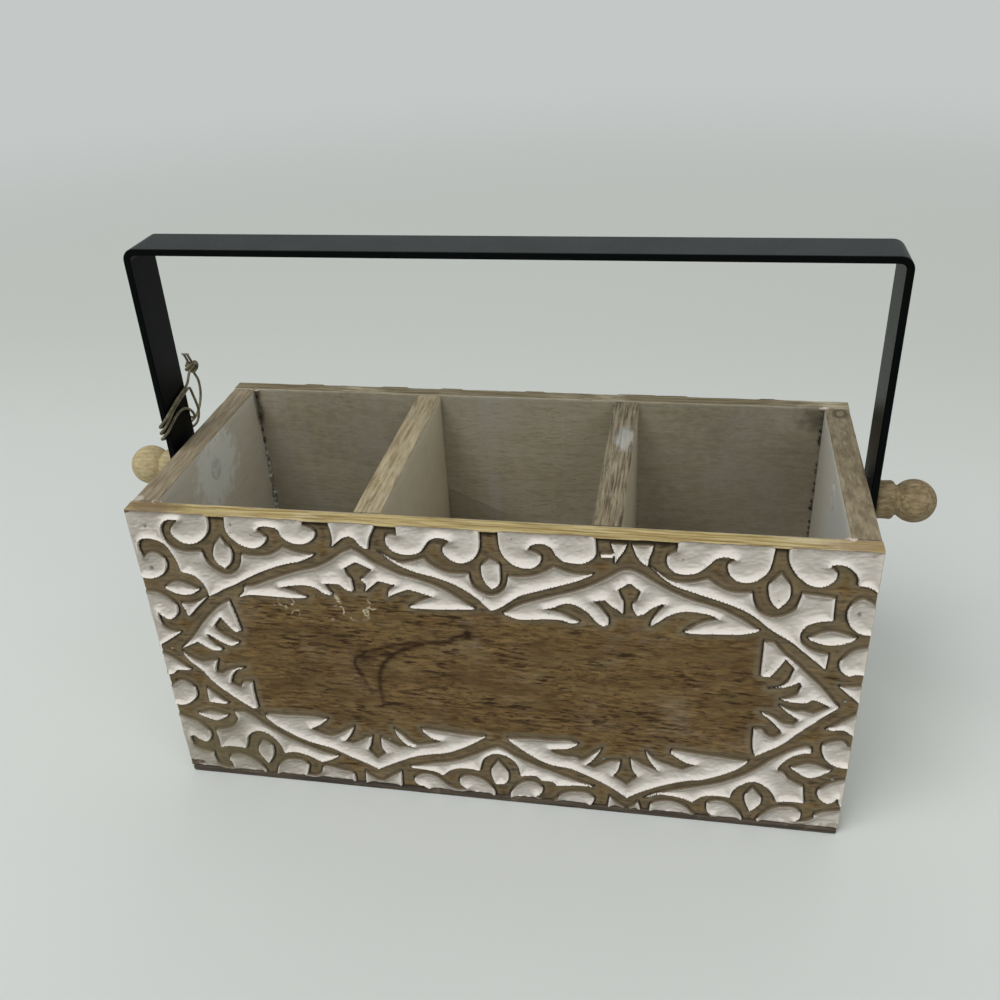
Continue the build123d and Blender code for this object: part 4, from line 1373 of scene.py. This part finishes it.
plankLooks = {
    "leftEnd": {
        "rimLight": shade(156, 144, 119), "rimDark": shade(118, 104, 81), "rimGrain": (560, 60, 560),
        "rimPaint": shade(170, 160, 138), "rimCover": 0.3, "relief": 0.35, "lift": 0.4,
        "pale": shade(226, 221, 204), "paleShare": 0.3,
        "wallMarks": [
            markAt((-0.1412, 0.001, 0.1345), (0.004, 0.023, 0.019), shade(228, 230, 224), 0.75, 0.1),
            # A dark streak of dirt and painted shade down the top of the back corner
            markAt((-0.1412, 0.0550, 0.1400), (0.004, 0.0022, 0.012), shade(60, 50, 34), 0.55, 0.3),
        ],
        "rimMarks": [
            markAt((-0.1500, -0.0545, 0.150), (0.002, 0.0022, 0.001), shade(196, 190, 176), 0.6),
        ],
    },
    "rightEnd": {
        "rimLight": shade(151, 139, 112), "rimDark": shade(108, 95, 72), "rimGrain": (420, 110, 420),
        "rimPaint": shade(158, 148, 126), "rimCover": 0.26, "relief": 0.4, "lift": 0.4,
        "pale": shade(226, 223, 212), "paleShare": 0.55,
        "wallMarks": [
            markAt((0.1412, -0.022, 0.122), (0.004, 0.034, 0.03), shade(200, 205, 204), 0.65, 0.1),
        ],
        "rimMarks": [
            markAt((0.1478, 0.051, 0.150), (0.0042, 0.005, 0.002), shade(72, 60, 41), 0.8, 0.12, 0.5),
        ],
    },
    "leftDivider": {
        "rimLight": shade(182, 168, 135), "rimDark": shade(124, 107, 76), "rimGrain": (620, 55, 620),
        "rimPaint": shade(180, 170, 144), "rimCover": 0.42, "relief": 0.7, "lift": 0.25,
        "pale": shade(226, 212, 180), "paleShare": 0.42,
        "wallMarks": [],
        "rimMarks": [],
    },
    "rightDivider": {
        "rimLight": shade(156, 144, 117), "rimDark": shade(74, 62, 42), "rimGrain": (820, 42, 820),
        "rimPaint": shade(168, 158, 134), "rimCover": 0.34, "relief": 1.2, "lift": 0.0,
        "pale": shade(224, 208, 174), "paleShare": 0.32,
        "wallMarks": [],
        "rimMarks": [
            markAt((0.0506, 0.018, 0.150), (0.0040, 0.012, 0.004), shade(198, 200, 196), 0.5, 0.35),
        ],
    },
}


def makePlankFinish(name, look):
    material, tree, shader = startMaterial(name)
    place = objectPlace(tree)
    grain = grainAt(place, (320, 34, 620), 0.8, 2.4)
    rimGrain = grainAt(place, look["rimGrain"], 0.9, 1.6)
    color = insideWash(place, grain, look["lift"])
    color = blendColors(look["paleShare"], color, look["pale"])
    color = addMarks(place, color, look["wallMarks"])
    bare = blendColors(rimGrain["Streak"], look["rimDark"], look["rimLight"])
    bare = tint(bare, look["rimDark"], rimGrain["Pores"], 0.5)
    drag = brushAt(place, (700, 40, 700), 40.0, look["rimCover"], 0.08)
    bare = tint(bare, look["rimPaint"], drag, 0.75)
    waver = times(minus(cloud(place, 500.0), 0.5), 0.5)
    upward = ramp(plus(upwardness(tree), waver), 0.30, 0.62)
    color = blendColors(upward, color, bare)
    # Grime in the sanded arris and in the joints at both ends
    arris = times(upward, minus(1.0, upward))
    seam = plus(calc("ABSOLUTE", partOf(place, "Y")), times(waver, 0.002))
    grime = calc("MAXIMUM", times(arris, 3.0), ramp(seam, 0.0553, 0.0562))
    color = tint(color, shade(62, 50, 34), grime, 0.7)
    color = addMarks(place, color, look["rimMarks"])
    feed(shader.inputs["Base Color"], color)
    feed(shader.inputs["Roughness"], ramp(grain["Streak"], 0.0, 1.0, 0.62, 0.78))
    shader.inputs["Specular IOR Level"].default_value = 0.35
    ridges = times(rimGrain["Height"], look["relief"])
    height = plus(times(grain["Height"], 0.3), times(ridges, upward))
    addBump(shader, height, 0.7, 0.0006)
    return material


def makeBaseFinish():
    material, tree, shader = startMaterial("darkBaseStain")
    place = objectPlace(tree)
    grain = grainAt(place, (30, 500, 800), 0.6, 3.0)
    color = blendColors(grain["Streak"], shade(44, 36, 28), shade(84, 72, 58))
    scuff = rubbedAt(place, 120.0, 0.56, 0.68)
    color = tint(color, shade(126, 112, 92), scuff, 0.6)
    feed(shader.inputs["Base Color"], color)
    shader.inputs["Roughness"].default_value = 0.7
    addBump(shader, grain["Height"], 0.5, 0.0004)
    return material


for number, (label, node) in enumerate((
    ("leftEnd", "left_side"), ("rightEnd", "right_side"),
    ("leftDivider", "left_divider"), ("rightDivider", "right_divider"),
)):
    finish = makePlankFinish(label + "Wash", plankLooks[label])
    makePlank(label + "Board", node, finish, seed=3 + 2 * number)
makePlank("baseBoard", "base_board", makeBaseFinish(), seed=13)
print("boards built")


# Turned knobs, in millimetres out from the middle of the caddy
knobShape = {
    "start": 152.5,
    "spigot": 4.0,
    "face": 157.7,
    "collar": 8.35,
    "collarEnd": 166.0,
    "waist": 0.12,
    "rounding": 1.6,
    "neck": 6.4,
    "neckEnd": 167.45,
    "ball": 9.3,
    "sides": 112,
    "wear": 0.05,
    "wearScale": 0.35,
    "toolMarks": 0.025,
    "toolPitch": 5.1,
}


def knobProfile():
    # (distance out, radius) from the wall to the end of the ball
    shape = knobShape
    face, rounding, collar = shape["face"], shape["rounding"], shape["collar"]
    points = [(shape["start"], shape["spigot"]), (face, shape["spigot"]), (face, collar - rounding)]
    for step in range(1, 7):
        turn = math.pi / 2 * step / 6
        out = face + rounding * (1 - math.cos(turn))
        points.append((out, collar - rounding * (1 - math.sin(turn))))
    flat = shape["collarEnd"] - rounding
    for step in range(1, 9):
        share = step / 9
        out = face + rounding + (flat - face - rounding) * share
        points.append((out, collar - shape["waist"] * math.sin(math.pi * share)))
    for step in range(0, 7):
        turn = math.pi / 2 * step / 6
        points.append((flat + rounding * math.sin(turn), collar - rounding * (1 - math.cos(turn))))
    points.append((shape["neckEnd"], shape["neck"]))
    ball = shape["ball"]
    centre = shape["neckEnd"] + math.sqrt(ball**2 - shape["neck"] ** 2)
    first = math.acos((shape["neckEnd"] - centre) / ball)
    for step in range(1, 49):
        turn = first * (1 - step / 48)
        points.append((centre + ball * math.cos(turn), ball * math.sin(turn)))
    return points


def makeKnob(name, node, material, side, seed):
    low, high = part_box(node)
    axisZ = (low.z + high.z) / 2
    profile = knobProfile()
    sides = knobShape["sides"]
    scale = knobShape["wearScale"]
    verts, faces = [], []
    for number, (out, radius) in enumerate(profile[:-1]):
        for step in range(sides):
            angle = 2 * math.pi * step / sides
            across, up = math.cos(angle) * radius * scale, math.sin(angle) * radius * scale
            hill = noise.noise(Vector((out * scale, across, up + seed)))
            groove = math.sin(out * knobShape["toolPitch"] + seed)
            worn = knobShape["wear"] * (hill * 0.5 + 0.5)
            worn += knobShape["toolMarks"] * (groove * 0.5 + 0.5)
            reach = (radius - (worn if number > 1 else 0)) * millimetre
            y, z = math.cos(angle) * reach, axisZ + math.sin(angle) * reach
            verts.append((side * out * millimetre, y, z))
    rings = len(profile) - 1
    for number in range(rings - 1):
        faces += bandFaces(number * sides, (number + 1) * sides, sides)
    # The last ring closes on a point, a little short of the ball's end
    last = (rings - 1) * sides
    verts.append((side * (profile[-1][0] - 0.02) * millimetre, 0, axisZ))
    faces += [(last + step, last + (step + 1) % sides, len(verts) - 1) for step in range(sides)]
    faces.append(tuple(reversed(range(sides))))
    if side > 0:
        faces = [face[::-1] for face in faces]
    piece = meshPiece(name, verts, faces, material, smoothAngle=40)
    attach(piece, boxBody)
    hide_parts(node)


knobColors = {
    "left": {
        "light": shade(196, 182, 143), "dark": shade(164, 147, 108),
        "pore": shade(136, 117, 80), "pores": 0.35,
    },
    "right": {
        "light": shade(158, 141, 107), "dark": shade(108, 92, 65),
        "pore": shade(70, 55, 35), "pores": 0.5,
    },
}


def makeKnobFinish(name, look):
    material, tree, shader = startMaterial(name)
    place = objectPlace(tree)
    grain = grainAt(place, (210, 700, 700), 1.2, 2.2)
    color = blendColors(grain["Streak"], look["dark"], look["light"])
    color = tint(color, look["pore"], grain["Pores"], look["pores"])
    color = tint(color, look["dark"], rubbedAt(place, 130.0, 0.5, 0.72), 0.3)
    feed(shader.inputs["Base Color"], color)
    shader.inputs["Roughness"].default_value = 0.72
    shader.inputs["Specular IOR Level"].default_value = 0.3
    addBump(shader, grain["Height"], 0.45, 0.0005)
    return material


leftWood = makeKnobFinish("knobWoodLeft", knobColors["left"])
rightWood = makeKnobFinish("knobWoodRight", knobColors["right"])
makeKnob("leftKnobTurned", "left_knob", leftWood, side=-1, seed=2)
makeKnob("rightKnobTurned", "right_knob", rightWood, side=1, seed=8)
print("knobs turned")


# Strap, washers, screws and pins keep their solids and take a finish
def dress(nodes, material):
    for node in nodes:
        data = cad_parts[node].data
        data.materials.clear()
        data.materials.append(material)


def makeStrapPaint():
    material, tree, shader = startMaterial("satinBlackStrap")
    place = objectPlace(tree)
    tone = cloud(place, 60.0, 4.0)
    color = blendColors(tone, shade(1, 3, 3), shade(6, 9, 9))
    dust = rubbedAt(place, 240.0, 0.60, 0.74)
    color = tint(color, shade(90, 96, 96), dust, 0.02)
    # Faces that look up are lighter: fine dust lies on them, and a painted sheen of the light from above
    dustAndSheen = ramp(upwardness(tree), 0.5, 0.95)
    dustAndSheen = times(dustAndSheen, ramp(tone, 0.2, 0.8, 0.7, 1.0))
    color = tint(color, shade(60, 66, 66), dustAndSheen, 0.6)
    feed(shader.inputs["Base Color"], color)
    rough = ramp(cloud(place, 900.0, 3.0), 0.3, 0.7, 0.30, 0.38)
    feed(shader.inputs["Roughness"], rough)
    shader.inputs["Specular IOR Level"].default_value = 0.05
    addBump(shader, cloud(place, 1900.0, 2.0), 0.1, 0.0003)
    return material


def makeFastenerSteel():
    material, tree, shader = startMaterial("plainFastenerSteel")
    place = objectPlace(tree)
    mark = stretchedCloud(place, (900, 200, 200), 5.0)
    color = blendColors(mark, shade(120, 118, 114), shade(176, 174, 170))
    feed(shader.inputs["Base Color"], color)
    shader.inputs["Metallic"].default_value = 1.0
    feed(shader.inputs["Roughness"], ramp(mark, 0.2, 0.8, 0.3, 0.5))
    addBump(shader, mark, 0.2, 0.0002)
    return material


dress(["handle"], makeStrapPaint())
steel = makeFastenerSteel()
dress(["left_washer", "right_washer", "left_screw", "right_screw"], steel)
dress(["corner_pins", "divider_pins", "base_pins"], steel)


# Glue at the inner corners and filler over the screw heads, in millimetres
glueShape = {
    "cornerHeight": 149.6,
    "drops": 3,
    "dropRadii": (1.8, 1.05, 0.55),
    "dropShrink": 0.3,
    "dropSpacing": 0.9,
    "beadStep": 3.6,
    "beadStart": 4.0,
    "beadRadius": 1.15,
    "beadGap": 0.28,
    "rightSeamEnd": 0.6,
    "driedFrom": 0.2,
    "driedSwell": 1.4,
    "fillerRadius": 5.2,
    "fillerRise": 0.3,
}


def lump(centre, radii, seed, detail=3, ragged=0.35):
    # A small irregular blob, centre and radii in millimetres
    bm = bmesh.new()
    bmesh.ops.create_icosphere(bm, subdivisions=detail, radius=1)
    verts = []
    for v in bm.verts:
        swell = 1 + ragged * noise.noise(v.co * 1.6 + Vector((seed, 0, 0)))
        verts.append(tuple((centre[k] + v.co[k] * radii[k] * swell) * millimetre for k in range(3)))
    faces = [tuple(v.index for v in f.verts) for f in bm.faces]
    bm.free()
    return verts, faces


def makeGlueFinish(name, light, dark, roughness):
    material, tree, shader = startMaterial(name)
    place = objectPlace(tree)
    tone = cloud(place, 380.0, 4.0)
    color = blendColors(ramp(tone, 0.38, 0.62), dark, light)
    feed(shader.inputs["Base Color"], color)
    shader.inputs["Roughness"].default_value = roughness
    addBump(shader, cloud(place, 1500.0, 3.0), 0.4, 0.0003)
    return material


def cornerDrops(wallX, wallY):
    # Small drops that lie on each corner of the rim
    wide, deep, tall = glueShape["dropRadii"]
    blobs = []
    for number, (sx, sy) in enumerate(((-1, -1), (-1, 1), (1, 1), (1, -1))):
        for part in range(glueShape["drops"]):
            spot = (
                sx * (wallX - 0.6 + part * glueShape["dropSpacing"]),
                sy * (wallY - 0.3 + (part % 2) * 0.8),
                glueShape["cornerHeight"] + 0.05 * part,
            )
            radii = (wide - glueShape["dropShrink"] * part, deep, tall)
            blobs.append(lump(spot, radii, number * 5 + part))
    return blobs


def seamBeads(wallX, wallY):
    # Beads down the two back corners: dark ones at the top, dried white ones lower on the left
    height = glueShape["cornerHeight"]
    steps = int((height - 8) / glueShape["beadStep"])
    fresh, dried = [], []
    for sx in (-1, 1):
        for number in range(steps):
            wander = noise.noise(Vector((number * 0.9, sx * 3.1, 0)))
            gap = noise.noise(Vector((number * 1.7, 5.0, sx * 2.3)))
            ended = sx > 0 and number > steps * glueShape["rightSeamEnd"]
            if gap > glueShape["beadGap"] or ended:
                continue
            dry = sx < 0 and number > steps * glueShape["driedFrom"]
            size = glueShape["beadRadius"] * (0.55 + 1.3 * abs(wander))
            size *= glueShape["driedSwell"] if dry else 1.0
            inward = 0.3 + 0.3 * wander
            drop = glueShape["beadStart"] + number * glueShape["beadStep"] + 2.2 * gap
            spot = (sx * (wallX - inward), wallY - inward, height - drop)
            bead = lump(spot, (size, size, size * (1.2 + 0.9 * abs(gap))), number * 3 + sx, detail=2)
            (dried if dry else fresh).append(bead)
    return fresh, dried


def screwPlugs(wallX, pivotZ):
    radius = glueShape["fillerRadius"]
    radii = (glueShape["fillerRise"], radius, radius * 1.1)
    return [lump((sx * wallX, 0, pivotZ), radii, 60 + sx, detail=4, ragged=0.08) for sx in (-1, 1)]


def addGlue():
    wallX = -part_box("left_side")[1].x * 1000
    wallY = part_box("left_side")[1].y * 1000
    pivotZ = (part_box("left_knob")[0].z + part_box("left_knob")[1].z) * 500
    fresh, dried = seamBeads(wallX, wallY)
    pale = makeGlueFinish("cornerGlue", shade(214, 200, 188), shade(128, 110, 88), 0.35)
    dark = makeGlueFinish("seamGlue", shade(96, 92, 84), shade(46, 40, 32), 0.45)
    white = makeGlueFinish("driedSeamGlue", shade(190, 190, 186), shade(104, 98, 88), 0.5)
    paste = makeGlueFinish("screwFiller", shade(212, 213, 206), shade(194, 193, 186), 0.8)
    made = (
        ("cornerGlueDrops", cornerDrops(wallX, wallY), pale),
        ("seamGlueBeads", fresh, dark),
        ("driedGlueBeads", dried, white),
        ("screwFillerPlugs", screwPlugs(wallX, pivotZ), paste),
    )
    for name, parts, material in made:
        verts, faces = joinParts(parts)
        piece = meshPiece(name, verts, faces, material, smoothAngle=80)
        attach(piece, boxBody)


addGlue()
print("glue and filler added")


# Floor, lamps and world
studio = {
    "floorReach": 6.0,
    "floor": shade(215, 219, 216),
    "floorShadeBehind": shade(201, 205, 200),
    "world": (0.98, 1.0, 0.985),
    "worldLevel": 0.46,
    "backdrop": shade(196, 200, 199),
    "fade": (0.7, 1.9),
    "lamps": {
        "keySoftLamp": {"place": (-0.9, -1.2, 2.7), "size": 1.5, "power": 43.0, "target": (0, 0, 0.08)},
        "fillSoftLamp": {"place": (1.6, -1.5, 1.9), "size": 1.4, "power": 9.0, "target": (0, 0, 0.08)},
        "farSoftLamp": {"place": (0.0, 3.0, 2.2), "size": 2.6, "power": 13.0, "target": (0, 2.8, 0)},
    },
}


def addLamp(name, look):
    data = bpy.data.lights.new(name, "AREA")
    data.shape = "SQUARE"
    data.size = look["size"]
    data.energy = look["power"]
    lamp = linkPiece(name, data)
    lamp.location = look["place"]
    away = Vector(look["place"]) - Vector(look["target"])
    lamp.rotation_euler = away.to_track_quat("Z", "Y").to_euler()


def makeFloor():
    material, tree, shader = startMaterial("paleTable")
    place = objectPlace(tree)
    faint = cloud(place, 6.0, 3.0)
    darker = tuple(v * 0.96 for v in studio["floor"])
    color = blendColors(faint, darker, studio["floor"])
    # Painted shade: the floor is darker behind the caddy
    shadeBehind = ramp(partOf(place, "Y"), 0.1, 0.55)
    color = blendColors(shadeBehind, color, studio["floorShadeBehind"])
    feed(shader.inputs["Base Color"], color)
    shader.inputs["Roughness"].default_value = 0.6
    shader.inputs["Specular IOR Level"].default_value = 0.2
    # Seen from the camera, the floor turns into the backdrop with its distance from the object
    glow = addNode(tree, "ShaderNodeEmission")
    glow.inputs["Color"].default_value = (*studio["backdrop"], 1)
    far = ramp(lengthOf(place), *studio["fade"])
    seenFar = times(far, addNode(tree, "ShaderNodeLightPath").outputs["Is Camera Ray"])
    joined = addNode(tree, "ShaderNodeMixShader")
    for socket, given in zip(joined.inputs, (seenFar, shader.outputs[0], glow.outputs[0])):
        tree.links.new(given, socket)
    tree.links.new(joined.outputs[0], tree.nodes["Material Output"].inputs["Surface"])
    reach = studio["floorReach"]
    points = [(-reach, -reach, 0), (reach, -reach, 0), (reach, reach, 0), (-reach, reach, 0)]
    floor = meshPiece("tableTop", points, [(0, 1, 2, 3)], material, smoothAngle=38)


def makeWorld():
    # Soft light from all sides, with an even backdrop where the camera sees it
    world = bpy.data.worlds.new("softRoom")
    world.use_nodes = True
    background = world.node_tree.nodes["Background"]
    background.inputs["Color"].default_value = (*studio["world"], 1)
    background.inputs["Strength"].default_value = studio["worldLevel"]
    tree = world.node_tree
    seen = addNode(tree, "ShaderNodeBackground")
    seen.inputs["Color"].default_value = (*studio["backdrop"], 1)
    split = addNode(tree, "ShaderNodeMixShader")
    tree.links.new(addNode(tree, "ShaderNodeLightPath").outputs["Is Camera Ray"], split.inputs[0])
    tree.links.new(background.outputs[0], split.inputs[1])
    tree.links.new(seen.outputs[0], split.inputs[2])
    tree.links.new(split.outputs[0], tree.nodes["World Output"].inputs["Surface"])
    bpy.context.scene.world = world


makeFloor()
makeWorld()
for name, look in studio["lamps"].items():
    addLamp(name, look)
bpy.context.scene.view_settings.view_transform = "Standard"
print("studio ready")
